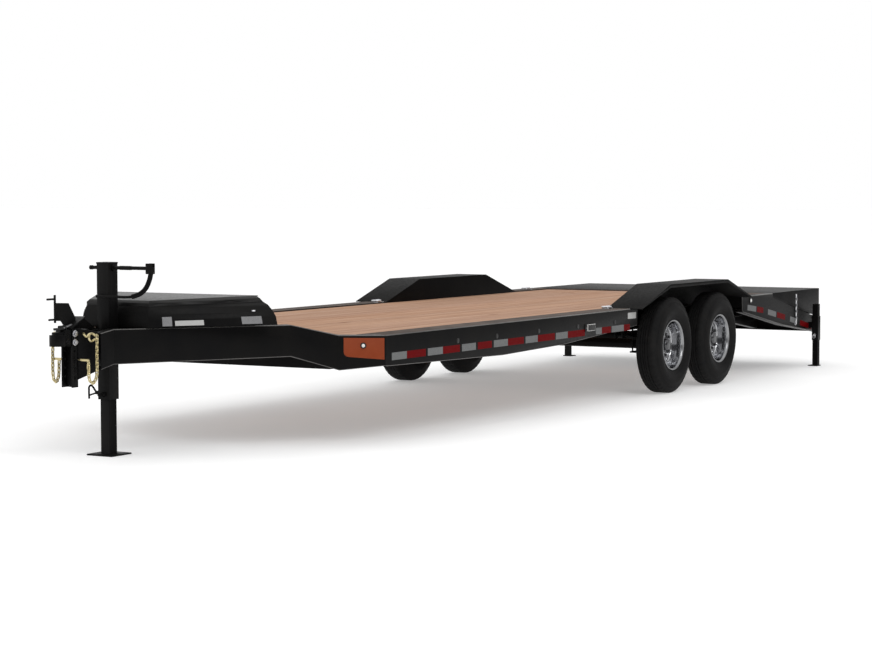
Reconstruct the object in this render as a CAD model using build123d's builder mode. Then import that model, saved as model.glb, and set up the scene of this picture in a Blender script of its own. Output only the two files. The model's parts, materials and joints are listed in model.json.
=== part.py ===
from build123d import *
import os
from math import atan2, cos, degrees, hypot, pi, radians, sin

os.makedirs("parts", exist_ok=True)

# ---------------------------------------------------------------------------
# Tandem-axle equipment trailer with a raised tongue, drive-over fenders, a
# wood deck, a dovetail and two flip-over ramps.  Millimetres, +X towards the
# coupler, +Y to the left side of the trailer, +Z up, ground at Z = 0.
# ---------------------------------------------------------------------------

# Overall
FRONT_END = 4721.5            # tip of the nose bracket's pin
REAR_END = -4721.5            # back of the ramp hinges
DATUM = -1281.5               # X that lengthwise distances are measured from
FRONT_AXLE = DATUM - 8.0      # X of the front axle
AXLE_SPACING = 912.0
REAR_AXLE = FRONT_AXLE - AXLE_SPACING
AXLE_MID = (FRONT_AXLE + REAR_AXLE) / 2
DECK_Z = 695.0                # top of the steel edges of the deck
WOOD_Z = 687.0                # top of the planks
PLANK_T = 38.0
HALF_WIDTH = 1295.5           # outer face of tyres and fenders

# Tyres and wheels (215 mm section, about 0.76 m tall)
TYRE_R = 380.0
TYRE_W = 215.0
TYRE_Y = HALF_WIDTH - TYRE_W / 2
RIM_SEAT_R = 190.5
RIM_FLANGE_R = 200.0
RIM_W = 165.0
SPINDLE_R = 20.0
HUB_CLEAR = 0.08
DRUM_R = 152.0

# Side rails
RAIL_Y = 1200.0
RAIL_T = 6.0
RAIL_FLANGE = 70.0
RAIL_STRIP = 200.0            # wide top flange ahead of the fenders
RAIL_FRONT = DATUM + 4190.0
RAIL_REAR = DATUM + 510.0
STRIP_REAR = DATUM + 633.0
RAIL_BOTTOM = [(510, 560), (652, 551), (1100, 527), (1750, 487), (2060, 478),
               (2650, 469), (3470, 481), (4150, 497), (4190, 500)]

# Inner beams, cross members and planks
BEAM_Y = 965.0
BEAM_W = 100.0
BEAM_BOTTOM = 505.0
BEAM_TOP = WOOD_Z - PLANK_T
BEAM_T = 7.0
CROSS_H = 70.0
CROSS_W = 38.0
CROSS_TOP = BEAM_TOP - BEAM_T
CROSS_PITCH = 406.4
WOOD_FRONT = DATUM + 4588.0
WOOD_SEAM = DATUM - 1672.0
WOOD_REAR = DATUM - 2195.0

# Fenders
FENDER_BASE = 1095.0          # half length at deck level
FENDER_TOP = 568.0            # half length of the flat top
FENDER_TOP_Z = 863.0
FENDER_IN_Y = 1000.0
FENDER_T = 5.0

# Dovetail, ramps and hinge
RAMP_TIP = DATUM - 2255.0
HINGE_X = REAR_END + 20.0
HINGE_Z = 420.0
HINGE_R = 20.0
HINGE_PIN_R = 12.0
DOVE_SLOPE = (655.0 - 415.0) / 1160.0
CROSS_REAR_X = HINGE_X + 32.0

# Tongue
TONGUE_T = 6.0
TONGUE_FLANGE = 65.0
C1_PT = (DATUM + 4190.0, 1200.0)      # deck corner, where the chamfer starts
C2_PT = (DATUM + 4318.0, 940.0)       # end of the chamfer
B_PT = (DATUM + 4591.0, 760.5)
B2_PT = (DATUM + 5550.0, 130.0)
E_PT = (DATUM + 5660.0, 120.0)
NOSE_REAR = DATUM + 5664.0
NOSE_FRONT = DATUM + 5780.0

# Jack
JACK_X = DATUM + 5447.0
JACK_TUBE = 89.0
JACK_LEG = 70.0
JACK_TOP = 1174.0
JACK_BOTTOM = 340.0
CRANK_Z = 1140.0

# Rear stands
STAND_X = DATUM - 3128.0
STAND_Y = 1265.5
STAND_LEG = 51.0
STAND_SLEEVE = 60.0


def fa(d):
    """X of a point d millimetres ahead of the datum."""
    return DATUM + d


def block(x0, x1, y0, y1, z0, z1, mode=Mode.ADD):
    """Rectangular bar between two corners."""
    with BuildSketch(Plane.XY.offset(z0)) as sk:
        with Locations(((x0 + x1) / 2, (y0 + y1) / 2)):
            Rectangle(x1 - x0, y1 - y0)
    extrude(sk.sketch, amount=z1 - z0, mode=mode)


def side_plate(points, y0, y1, mode=Mode.ADD):
    """Plate whose outline is in X-Z, between two Y values."""
    with BuildSketch(Plane.XZ.offset(-y1)) as sk:
        with BuildLine():
            Polyline(*points, close=True)
        make_face()
    extrude(sk.sketch, amount=y1 - y0, mode=mode)


def cross_plate(points, x0, x1, mode=Mode.ADD):
    """Plate whose outline is in Y-Z, between two X values."""
    with BuildSketch(Plane.YZ.offset(x0)) as sk:
        with BuildLine():
            Polyline(*points, close=True)
        make_face()
    extrude(sk.sketch, amount=x1 - x0, mode=mode)


def plan_plate(points, z0, z1, mode=Mode.ADD):
    """Plate whose outline is in X-Y, between two Z values."""
    with BuildSketch(Plane.XY.offset(z0)) as sk:
        with BuildLine():
            Polyline(*points, close=True)
        make_face()
    extrude(sk.sketch, amount=z1 - z0, mode=mode)


def rod_y(x, z, r, y0, y1, mode=Mode.ADD):
    """Round bar along Y."""
    with BuildSketch(Plane.XZ.offset(-y1)) as sk:
        with Locations((x, z)):
            Circle(r)
    extrude(sk.sketch, amount=y1 - y0, mode=mode)


def rod_x(y, z, r, x0, x1, mode=Mode.ADD):
    """Round bar along X."""
    with BuildSketch(Plane.YZ.offset(x0)) as sk:
        with Locations((y, z)):
            Circle(r)
    extrude(sk.sketch, amount=x1 - x0, mode=mode)


def rod_z(x, y, r, z0, z1, mode=Mode.ADD):
    """Round bar along Z."""
    with BuildSketch(Plane.XY.offset(z0)) as sk:
        with Locations((x, y)):
            Circle(r)
    extrude(sk.sketch, amount=z1 - z0, mode=mode)


def finish(part, label):
    """Name a piece and write it."""
    part.label = label
    export_step(part, f"parts/{label}.step")


def dove_top(x):
    """Height of the sloping dovetail surface."""
    return 655.0 + (x - fa(-2240.0)) * DOVE_SLOPE


# ---------------------------------------------------------------------------
# Side rails: formed plates with a turned-in flange top and bottom, deepest
# under the middle of the deck
# ---------------------------------------------------------------------------
rail_low = [(fa(x), z) for x, z in RAIL_BOTTOM]
with BuildPart() as side_rail_left:
    side_plate(rail_low + [(RAIL_FRONT, DECK_Z), (STRIP_REAR, DECK_Z), (STRIP_REAR, 687),
                           (RAIL_REAR, 687)],
               RAIL_Y - RAIL_T, RAIL_Y)
    block(STRIP_REAR, RAIL_FRONT + 30, RAIL_Y - RAIL_STRIP, RAIL_Y, DECK_Z - 6, DECK_Z)
    block(STRIP_REAR, RAIL_FRONT, RAIL_Y - RAIL_STRIP, RAIL_Y - RAIL_STRIP + 6,
          BEAM_TOP, DECK_Z)
    side_plate(rail_low + [(x, z + 6) for x, z in reversed(rail_low)],
               RAIL_Y - 60, RAIL_Y)
    block(RAIL_REAR, RAIL_REAR + 6, RAIL_Y - 60, RAIL_Y, 560, 687)
    # mitre where the tongue rail joins
    plan_plate([(RAIL_FRONT - 2, RAIL_Y + 1), (RAIL_FRONT - 42.5, 1134.5),
                (RAIL_FRONT + 27, 993), (RAIL_FRONT + 80, 993),
                (RAIL_FRONT + 80, RAIL_Y + 30), (RAIL_FRONT - 2, RAIL_Y + 30)],
               400, 800, mode=Mode.SUBTRACT)
with BuildPart() as side_rail_right:
    mirror(side_rail_left.part, about=Plane.XZ)
finish(side_rail_left.part, "side_rail_left")
finish(side_rail_right.part, "side_rail_right")

# ---------------------------------------------------------------------------
# Front cross beams: a deep one between the deck corners and a lower one at
# the front edge of the planks, behind the toolbox
# ---------------------------------------------------------------------------
with BuildPart() as front_crossbeam:
    block(fa(4304), fa(4310), -862, 862, 475, 646)
    block(fa(4304), fa(4310), -937, 937, 496, 646)
    block(fa(4250), fa(4310), -862, 862, 475, 481)
    block(fa(4250), fa(4310), -862, 862, 640, 646)
    block(fa(4592), fa(4598), -744, 744, 580, 700)
    block(fa(4550), fa(4598), -744, 744, 643, 649)
finish(front_crossbeam.part, "front_crossbeam")

# ---------------------------------------------------------------------------
# Inner beams: I sections with windows that the cross members pass through
# ---------------------------------------------------------------------------
cross_x = [fa(4340.0) - i * CROSS_PITCH for i in range(1, 16)]
with BuildPart() as main_beam_left:
    block(fa(-2005), fa(4195), BEAM_Y - 3.5, BEAM_Y + 3.5, BEAM_BOTTOM, BEAM_TOP)
    block(fa(-2005), fa(4195), BEAM_Y - BEAM_W / 2, BEAM_Y + BEAM_W / 2,
          BEAM_BOTTOM, BEAM_BOTTOM + BEAM_T)
    block(fa(-2005), fa(4195), BEAM_Y - BEAM_W / 2, BEAM_Y + BEAM_W / 2,
          BEAM_TOP - BEAM_T, BEAM_TOP)
    for x in cross_x:
        block(x - 23, x + 23, BEAM_Y - 10, BEAM_Y + 10,
              CROSS_TOP - CROSS_H - 4, CROSS_TOP, mode=Mode.SUBTRACT)
with BuildPart() as main_beam_right:
    mirror(main_beam_left.part, about=Plane.XZ)
finish(main_beam_left.part, "main_beam_left")
finish(main_beam_right.part, "main_beam_right")

# ---------------------------------------------------------------------------
# Cross members: channels, cut short where they pass the wheels
# ---------------------------------------------------------------------------
with BuildPart() as crossmembers:
    for x in cross_x:
        half = 1036.0 if fa(-1560) < x < fa(650) else 1193.0
        block(x - CROSS_W / 2, x - CROSS_W / 2 + 5, -half, half,
              CROSS_TOP - CROSS_H, CROSS_TOP)
        block(x - CROSS_W / 2, x + CROSS_W / 2, -half, half,
              CROSS_TOP - CROSS_H, CROSS_TOP - CROSS_H + 6)
        block(x - CROSS_W / 2, x + CROSS_W / 2, -half, half,
              CROSS_TOP - 6, CROSS_TOP)
finish(crossmembers.part, "crossmembers")

# ---------------------------------------------------------------------------
# Deck planks, laid lengthwise in two runs and cut along the tongue rails
# ---------------------------------------------------------------------------
plank_w = 178.0
plank_gap = 3.0
with BuildPart() as deck_planks:
    for i in range(11):
        y = (i - 5) * (plank_w + plank_gap)
        block(WOOD_SEAM, WOOD_FRONT, y - plank_w / 2, y + plank_w / 2,
              BEAM_TOP, WOOD_Z)
        block(WOOD_REAR, WOOD_SEAM - 12, y - plank_w / 2, y + plank_w / 2,
              BEAM_TOP, WOOD_Z)
    for s in (-1, 1):
        plan_plate([(fa(4229.2), s * 1100), (fa(4311), s * 933.8), (fa(4600), s * 743.8),
                    (fa(4700), s * 743.8), (fa(4700), s * 1100)],
                   600, 720, mode=Mode.SUBTRACT)
finish(deck_planks.part, "deck_planks")

# ---------------------------------------------------------------------------
# Steel deck end between the wood and the ramps
# ---------------------------------------------------------------------------
with BuildPart() as deck_end_plate:
    block(fa(-2242), fa(-2198), -1128, 1128, DECK_Z - 6, DECK_Z)
    block(fa(-2242), fa(-2236), -1128, 1128, 645, DECK_Z)
    block(fa(-2204), fa(-2198), -1128, 1128, 643, DECK_Z)
    # ledge under the ends of the planks
    block(fa(-2204), fa(-2150), -1128, 1128, 643, 649)
    for s in (-1, 1):
        y0, y1 = sorted((s * 997.0, s * 1128.0))
        block(fa(-2204), fa(-1560), y0, y1, DECK_Z - 6, DECK_Z)
finish(deck_end_plate.part, "deck_end_plate")

# ---------------------------------------------------------------------------
# Drive-over fenders: sloped ends, flat top, inner side panel, outer lip
# ---------------------------------------------------------------------------
fender_out = [(AXLE_MID - FENDER_BASE, DECK_Z), (AXLE_MID - FENDER_TOP, FENDER_TOP_Z),
              (AXLE_MID + FENDER_TOP, FENDER_TOP_Z), (AXLE_MID + FENDER_BASE, DECK_Z)]
slope_len = hypot(FENDER_BASE - FENDER_TOP, FENDER_TOP_Z - DECK_Z)
drop = FENDER_T * slope_len / (FENDER_BASE - FENDER_TOP)
fender_in = [(AXLE_MID + FENDER_BASE - 2, DECK_Z - drop),
             (AXLE_MID + FENDER_TOP - 1, FENDER_TOP_Z - FENDER_T),
             (AXLE_MID - FENDER_TOP + 1, FENDER_TOP_Z - FENDER_T),
             (AXLE_MID - FENDER_BASE + 2, DECK_Z - drop)]
with BuildPart() as fender_left:
    side_plate(fender_out + fender_in, FENDER_IN_Y, HALF_WIDTH)
    # inner side panel, down to the beam's flange
    side_plate(fender_out + [(AXLE_MID + FENDER_BASE, BEAM_TOP), (AXLE_MID - FENDER_BASE, BEAM_TOP)],
               FENDER_IN_Y, FENDER_IN_Y + FENDER_T)
    # outer lip
    side_plate(fender_out
               + [(x, z - 26) for x, z in reversed(fender_out)],
               HALF_WIDTH - FENDER_T, HALF_WIDTH)
    # end panels of the wheel well
    for s in (-1, 1):
        x0, x1 = sorted((AXLE_MID + s * FENDER_BASE, AXLE_MID + s * (FENDER_BASE - 5)))
        block(x0, x1, BEAM_Y + BEAM_W / 2 + 1, RAIL_Y - 8, 600, DECK_Z - 3)
        block(x0, x1, FENDER_IN_Y, BEAM_Y + BEAM_W / 2 + 1, BEAM_TOP, DECK_Z - 3)
with BuildPart() as fender_right:
    mirror(fender_left.part, about=Plane.XZ)
finish(fender_left.part, "fender_left")
finish(fender_right.part, "fender_right")

# ---------------------------------------------------------------------------
# Dovetail rails behind the wheels: level to the ramps, then sloping down
# ---------------------------------------------------------------------------
dove_web = [(fa(-1560), DECK_Z), (fa(-2245), DECK_Z), (fa(-2245), 654),
            (CROSS_REAR_X + 8, dove_top(CROSS_REAR_X + 8)), (CROSS_REAR_X + 8, 291),
            (fa(-3300), 300), (fa(-2460), 405), (fa(-1560), 562)]
with BuildPart() as dovetail_rail_left:
    side_plate(dove_web, RAIL_Y - RAIL_T, RAIL_Y)
    block(fa(-2245), fa(-1560), RAIL_Y - RAIL_FLANGE, RAIL_Y, DECK_Z - 6, DECK_Z)
    side_plate([(fa(-2245), 654), (CROSS_REAR_X + 8, dove_top(CROSS_REAR_X + 8)),
                (CROSS_REAR_X + 8, dove_top(CROSS_REAR_X + 8) - 6), (fa(-2245), 648)],
               RAIL_Y - 60, RAIL_Y)
    side_plate([(CROSS_REAR_X + 8, 291), (fa(-3300), 300), (fa(-2460), 405), (fa(-1560), 562),
                (fa(-1560), 568), (fa(-2460), 411), (fa(-3300), 306), (CROSS_REAR_X + 8, 297)],
               RAIL_Y - 60, RAIL_Y + 10)
with BuildPart() as dovetail_rail_right:
    mirror(dovetail_rail_left.part, about=Plane.XZ)
finish(dovetail_rail_left.part, "dovetail_rail_left")
finish(dovetail_rail_right.part, "dovetail_rail_right")

# ---------------------------------------------------------------------------
# Dovetail frame: two sloping inner beams and the cross bars they carry
# ---------------------------------------------------------------------------
dove_cross_x = [fa(-2300) - i * 150.0 for i in range(7)]
with BuildPart() as dovetail_frame:
    for s in (-1, 1):
        y0, y1 = sorted((s * 560.0, s * 620.0))
        side_plate([(fa(-2010), 505), (fa(-2010), 640), (fa(-2060), 640),
                    (CROSS_REAR_X + 85, dove_top(CROSS_REAR_X + 85) - 48),
                    (CROSS_REAR_X + 85, 312)], y0, y1)
    for x in dove_cross_x:
        zt = dove_top(x + 25)
        side_plate([(x - 25, zt - 10.4), (x + 25, zt), (x + 25, zt - 6), (x - 20, zt - 15),
                    (x - 20, zt - 56), (x - 25, zt - 57)], -1130, 1130)
finish(dovetail_frame.part, "dovetail_frame")

# ---------------------------------------------------------------------------
# Rear cross member with the hinge lugs
# ---------------------------------------------------------------------------
ramp_spans = [(18.0, 1180.0)]
lug_y = [(180.0, 230.0), (560.0, 610.0), (960.0, 1010.0)]
knuckle_y = [(235.0, 305.0), (615.0, 685.0), (885.0, 955.0)]
with BuildPart() as rear_crossmember:
    block(CROSS_REAR_X, CROSS_REAR_X + 6, -1192, 1192, 303, 408)
    block(CROSS_REAR_X, CROSS_REAR_X + 80, -1138, 1138, 303, 309)
    block(CROSS_REAR_X, CROSS_REAR_X + 80, -1138, 1138, 402, 408)
    for s in (-1, 1):
        for a, b in lug_y:
            y0, y1 = sorted((s * a, s * b))
            rod_y(HINGE_X, HINGE_Z, HINGE_R, y0, y1)
            block(HINGE_X, CROSS_REAR_X + 2, y0, y1, 397, 408)
            rod_y(HINGE_X, HINGE_Z, HINGE_PIN_R, y0 - 1, y1 + 1, mode=Mode.SUBTRACT)
finish(rear_crossmember.part, "rear_crossmember")

with BuildPart() as hinge_pins:
    for s in (-1, 1):
        for (a, b), (c, d) in zip(lug_y, knuckle_y):
            y0, y1 = sorted((s * (min(a, c) - 6), s * (max(b, d) + 6)))
            rod_y(HINGE_X, HINGE_Z, HINGE_PIN_R, y0, y1)
finish(hinge_pins.part, "hinge_pins")

# ---------------------------------------------------------------------------
# Ramps: wedges folded forward, level with the deck, hinged at the heel
# ---------------------------------------------------------------------------
heel = HINGE_X + 2.0
ramp_low_z = lambda x: dove_top(x) + 6.0
with BuildPart() as ramp_left:
    wedge = [(RAMP_TIP, DECK_Z), (heel, DECK_Z), (heel, HINGE_Z + 36),
             (heel + 40, ramp_low_z(heel + 40) + 12), (RAMP_TIP, ramp_low_z(RAMP_TIP))]
    for a, b in ramp_spans:
        side_plate(wedge, a, a + 6)
        side_plate(wedge, b - 6, b)
        side_plate(wedge, (a + b) / 2 - 3, (a + b) / 2 + 3)
        block(heel, RAMP_TIP, a, b, DECK_Z - 5, DECK_Z)
        block(heel, heel + 6, a, b, HINGE_Z + 36, DECK_Z)
        block(RAMP_TIP - 6, RAMP_TIP, a, b, ramp_low_z(RAMP_TIP), DECK_Z)
        # driving-side bars
        for i in range(8):
            x = heel + 100 + i * 135.0
            z = ramp_low_z(x)
            side_plate([(x - 20, z - 4.1 + 6), (x + 20, z + 4.2 + 6), (x + 20, z + 10.2 + 6),
                        (x - 20, z + 1.9 + 6)], a, b)
    for c, d in knuckle_y:
        rod_y(HINGE_X, HINGE_Z, HINGE_R - 1, c, d)
        block(HINGE_X - 4, HINGE_X + 8, c, d, HINGE_Z, HINGE_Z + 44)
        rod_y(HINGE_X, HINGE_Z, HINGE_PIN_R + 0.08, c - 1, d + 1, mode=Mode.SUBTRACT)
with BuildPart() as ramp_right:
    mirror(ramp_left.part, about=Plane.XZ)
finish(ramp_left.part, "ramp_left")
finish(ramp_right.part, "ramp_right")

# ---------------------------------------------------------------------------
# Tongue rails: formed channels that start along the chamfered deck corners,
# rise past the front of the deck and run forward to the nose
# ---------------------------------------------------------------------------
stations = [(C1_PT, 501.0, 695.0), (C2_PT, 471.0, 694.0), (B_PT, 569.5, 769.0),
            (B2_PT, 562.5, 775.0), (E_PT, 537.5, 757.0)]


def inward(p, q):
    """Unit normal pointing to the inside of a left-hand rail."""
    dx, dy = q[0] - p[0], q[1] - p[1]
    d = hypot(dx, dy)
    return dy / d, -dx / d


normals = [(0.0, -1.0)] + [inward(stations[i][0], stations[i + 1][0]) for i in range(4)]
normals.append(normals[-1])
with BuildPart() as tongue_rail_left:
    for i, (pt, zb, zt) in enumerate(stations):
        n0, n1 = normals[i], normals[i + 1]
        mx, my = n0[0] + n1[0], n0[1] + n1[1]
        m = hypot(mx, my)
        mx, my = mx / m, my / m
        k = 1.0 / (mx * n1[0] + my * n1[1])
        with BuildSketch(Plane(origin=(pt[0], pt[1], 0), x_dir=(mx, my, 0),
                               z_dir=(my, -mx, 0))):
            with BuildLine():
                Polyline((0, zb), (TONGUE_FLANGE * k, zb), (TONGUE_FLANGE * k, zb + 6),
                         (TONGUE_T * k, zb + 6), (TONGUE_T * k, zt - 6),
                         (TONGUE_FLANGE * k, zt - 6), (TONGUE_FLANGE * k, zt), (0, zt),
                         close=True)
            make_face()
    loft(ruled=True)
with BuildPart() as tongue_rail_right:
    mirror(tongue_rail_left.part, about=Plane.XZ)
finish(tongue_rail_left.part, "tongue_rail_left")
finish(tongue_rail_right.part, "tongue_rail_right")

# ---------------------------------------------------------------------------
# Tongue cross members that carry the toolbox, resting in the rails
# ---------------------------------------------------------------------------
with BuildPart() as tongue_crossmembers:
    block(fa(4830), fa(4880), -560, 560, 574, 598)
    block(fa(5170), fa(5220), -336, 336, 571.5, 598)
finish(tongue_crossmembers.part, "tongue_crossmembers")

# ---------------------------------------------------------------------------
# Nose box ahead of the rails, and the channel that the coupler bolts to
# ---------------------------------------------------------------------------
nose_rear_half = 100.0
nose_front_half = 44.0
with BuildPart() as tongue_nose:
    for skin, mode in ((0.0, Mode.ADD), (8.0, Mode.SUBTRACT)):
        over = 2.0 if skin else 0.0
        with BuildPart(mode=Mode.PRIVATE) as shell:
            for x, hw, zb, zt in ((NOSE_REAR - over, nose_rear_half, 532.0, 768.0),
                                  (NOSE_FRONT, nose_front_half, 484.0, 790.0)):
                with BuildSketch(Plane.YZ.offset(x)):
                    with BuildLine():
                        Polyline((-hw + skin, zb + skin), (hw - skin, zb + skin),
                                 (hw - skin, zt - skin), (-hw + skin, zt - skin), close=True)
                    make_face()
            loft(ruled=True)
        add(shell.part, mode=mode)
finish(tongue_nose.part, "tongue_nose")

CHANNEL_HALF = 42.0
CHANNEL_D = 52.0
HOLE_X = NOSE_FRONT + 27.0
with BuildPart() as coupler_channel:
    block(NOSE_FRONT, NOSE_FRONT + 9, -CHANNEL_HALF, CHANNEL_HALF, 440, 790)
    block(NOSE_FRONT, NOSE_FRONT + CHANNEL_D, CHANNEL_HALF - 9, CHANNEL_HALF, 440, 790)
    block(NOSE_FRONT, NOSE_FRONT + CHANNEL_D, -CHANNEL_HALF, -CHANNEL_HALF + 9, 440, 790)
    for z in (760, 709, 658, 607, 556, 505):
        rod_y(HOLE_X, z, 8.2, -70, 70, mode=Mode.SUBTRACT)
finish(coupler_channel.part, "coupler_channel")

# ---------------------------------------------------------------------------
# Ball coupler: shank between the channel walls, head with a ball socket
# ---------------------------------------------------------------------------
COUPLER_X = fa(5910.0)
with BuildPart() as ball_coupler:
    block(NOSE_FRONT + 11, NOSE_FRONT + 60, -31, 31, 686, 786)
    side_plate([(NOSE_FRONT + 56, 690), (NOSE_FRONT + 56, 786), (COUPLER_X - 34, 786),
                (COUPLER_X - 10, 762), (COUPLER_X - 10, 690)], -38, 38)
    with BuildSketch(Plane.XY.offset(690)):
        with Locations((COUPLER_X, 0)):
            Circle(51)
    extrude(amount=66)
    with BuildSketch(Plane.XY.offset(756)):
        with Locations((COUPLER_X, 0)):
            Circle(36)
    extrude(amount=16)
    with Locations((COUPLER_X, 0, 718)):
        Sphere(29.6, mode=Mode.SUBTRACT)
    rod_z(COUPLER_X, 0, 29.6, 680, 718, mode=Mode.SUBTRACT)
    for z in (760, 709):
        rod_y(HOLE_X, z, 8.0, -54, 54)
finish(ball_coupler.part, "ball_coupler")

# ---------------------------------------------------------------------------
# Bracket on top of the nose: sloping gusset, upright plate, rod and two pins
# ---------------------------------------------------------------------------
with BuildPart() as nose_bracket:
    side_plate([(fa(5932), 947), (fa(5815), 941), (fa(5752), 849), (fa(5765), 800),
                (fa(5770), 790), (fa(5835), 790), (fa(5845), 800), (fa(5880), 838),
                (fa(5934), 841)], -5, 5)
    side_plate([(fa(5842), 790), (fa(5842), 796), (fa(5712), 858), (fa(5708), 852),
                (fa(5834), 790)], -44, 44)
    side_plate([(fa(5712), 855), (fa(5800), 808), (fa(5770), 790), (fa(5712), 780)], -6, 6)
    rod_z(fa(5934), 0, 7, 829, 994)
    rod_x(0, 970, 6, fa(5930), FRONT_END)
    rod_x(0, 849, 6, fa(5930), fa(5988))
finish(nose_bracket.part, "nose_bracket")

# ---------------------------------------------------------------------------
# Safety chains: separate links hanging in a loop at each side of the nose
# ---------------------------------------------------------------------------
LINK_D = 7.0
LINK_L = 34.0
LINK_W = 24.0
LINK_PITCH = 18.5


with BuildPart() as link:
    link_r = LINK_W / 2 - LINK_D / 2
    link_h = LINK_L / 2 - LINK_W / 2
    for s in (-1, 1):
        with BuildLine() as link_line:
            Line((0, link_r), (s * link_h, link_r))
            ThreePointArc((s * link_h, link_r), (s * (link_h + link_r), 0),
                          (s * link_h, -link_r))
            Line((s * link_h, -link_r), (0, -link_r))
        with BuildSketch(Plane(origin=(0, link_r, 0), x_dir=(0, 1, 0),
                               z_dir=(s, 0, 0))) as link_section:
            Circle(LINK_D / 2)
        sweep(link_section.sketch, path=link_line.line)


chain_path = [(fa(5800), 600), (fa(5800), 560), (fa(5790), 505), (fa(5765), 470),
              (fa(5735), 505), (fa(5715), 560), (fa(5708), 620), (fa(5706), 690),
              (fa(5712), 745)]


def along(path, step):
    """Points at equal steps along a polyline, with the local direction."""
    out, need = [], 0.0
    for (x0, z0), (x1, z1) in zip(path, path[1:]):
        d = hypot(x1 - x0, z1 - z0)
        t = need
        while t <= d:
            out.append((x0 + (x1 - x0) * t / d, z0 + (z1 - z0) * t / d,
                        atan2(z1 - z0, x1 - x0)))
            t += step
        need = t - d
    return out


links = along(chain_path, LINK_PITCH)
with BuildPart() as safety_chain_left:
    for i, (x, z, a) in enumerate(links):
        j, k = max(i - 1, 0), min(i + 1, len(links) - 1)
        a = atan2(links[k][1] - links[j][1], links[k][0] - links[j][0])
        normal = (0, 1, 0) if i % 2 == 0 else (-sin(a), 0, cos(a))
        place = Plane(origin=(x, 132.0, z), x_dir=(cos(a), 0, sin(a)), z_dir=normal)
        add(place.location * link.part)
with BuildPart() as safety_chain_right:
    mirror(safety_chain_left.part, about=Plane.XZ)
finish(safety_chain_left.part, "safety_chain_left")
finish(safety_chain_right.part, "safety_chain_right")

# ---------------------------------------------------------------------------
# Toolbox: a tub between the tongue rails, and an upper part that rests on
# them with its sides curving in to a lid hinged at the back edge
# ---------------------------------------------------------------------------
BOX_TILT = 1.6                # the lid falls towards the front


def box_section(z, rear, front, rear_half, front_half, tilt, skin=0.0):
    """Trapezoid of the toolbox in plan, on a plane that may fall forward."""
    t = radians(tilt)
    reach = (front - rear) / cos(t)
    with BuildSketch(Plane(origin=(fa(rear), 0, z), x_dir=(cos(t), 0, -sin(t)),
                           z_dir=(sin(t), 0, cos(t)))) as section:
        with BuildLine():
            Polyline((skin, rear_half - 1.6 * skin), (reach - skin, front_half - 0.9 * skin),
                     (reach - skin, -front_half + 0.9 * skin),
                     (skin, -rear_half + 1.6 * skin), close=True)
        make_face()
    return section.sketch.faces()[0]


# (z, rear X, front X, half width behind, half width in front, tilt)
box_levels = [(777.0, 4750.0, 5380.0, 769.0, 256.0, 0.0),
              (830.0, 4750.0, 5376.0, 757.0, 252.0, 0.8),
              (865.0, 4750.0, 5371.0, 733.0, 247.0, 1.1),
              (900.0, 4750.0, 5361.0, 698.0, 242.0, 1.45),
              (925.0, 4750.0, 5347.0, 648.0, 237.0, BOX_TILT)]
tub = [(fa(4765), 560), (fa(5325), 192), (fa(5325), -192), (fa(4765), -560)]
tub_in = [(fa(4768), 556), (fa(5322), 189), (fa(5322), -189), (fa(4768), -556)]
with BuildPart() as toolbox_body:
    for (lower, upper) in zip(box_levels, box_levels[1:]):
        with BuildPart(mode=Mode.PRIVATE) as ring:
            loft([box_section(*lower), box_section(*upper)], ruled=True)
        add(ring.part)
    plan_plate(tub, 598, 779)
    for i, (lower, upper) in enumerate(zip(box_levels, box_levels[1:])):
        with BuildPart(mode=Mode.PRIVATE) as hollow:
            if i == 0:
                lower = (780.0,) + lower[1:]
            if i == len(box_levels) - 2:
                upper = (upper[0] + 0.5,) + upper[1:]
            loft([box_section(*lower, skin=3.0), box_section(*upper, skin=3.0)], ruled=True)
        add(hollow.part, mode=Mode.SUBTRACT)
    plan_plate(tub_in, 601, 785, mode=Mode.SUBTRACT)
    block(fa(4729), fa(4751), -560, 560, 900, 938)
finish(toolbox_body.part, "toolbox_body")

LID_X = fa(4735)
LID_Z = 948.0
with BuildPart() as toolbox_lid:
    for skin, over, mode in ((0.0, 0.0, Mode.ADD), (3.0, 0.5, Mode.SUBTRACT)):
        with BuildPart(mode=Mode.PRIVATE) as pan:
            low = box_section(919.0 - over, 4742.0, 5358.0, 671.0 + over, 246.0, BOX_TILT, skin)
            mid = box_section(941.0, 4742.0, 5350.0, 645.0, 241.0, BOX_TILT, skin)
            top = box_section(956.0 - skin, 4742.0, 5332.0, 612.0, 231.0, BOX_TILT, skin)
            loft([low, mid], ruled=True)
            loft([mid, top], ruled=True)
        add(pan.part, mode=mode)
    block(fa(4730), fa(4753), -700, 700, 890, 950, mode=Mode.SUBTRACT)
    rod_y(LID_X, LID_Z, 5, -560, 560)
    block(LID_X, LID_X + 9, -560, 560, LID_Z + 1.5, LID_Z + 5)
finish(toolbox_lid.part, "toolbox_lid")

# ---------------------------------------------------------------------------
# Jack: square outer tube, drop leg with a foot, side-wind crank
# ---------------------------------------------------------------------------
half = JACK_TUBE / 2
with BuildPart() as jack_tube:
    block(JACK_X - half, JACK_X + half, -half, half, JACK_BOTTOM, JACK_TOP)
    block(JACK_X - half + 6.35, JACK_X + half - 6.35, -half + 6.35, half - 6.35,
          JACK_BOTTOM - 10, JACK_TOP - 6, mode=Mode.SUBTRACT)
    rod_y(JACK_X, CRANK_Z, 11.5, -60, 60, mode=Mode.SUBTRACT)
    rod_x(0, 372, 16, JACK_X + half - 1, JACK_X + half + 26)
    rod_x(0, 372, 8, JACK_X + half - 1, JACK_X + half + 52)
finish(jack_tube.part, "jack_tube")

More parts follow.
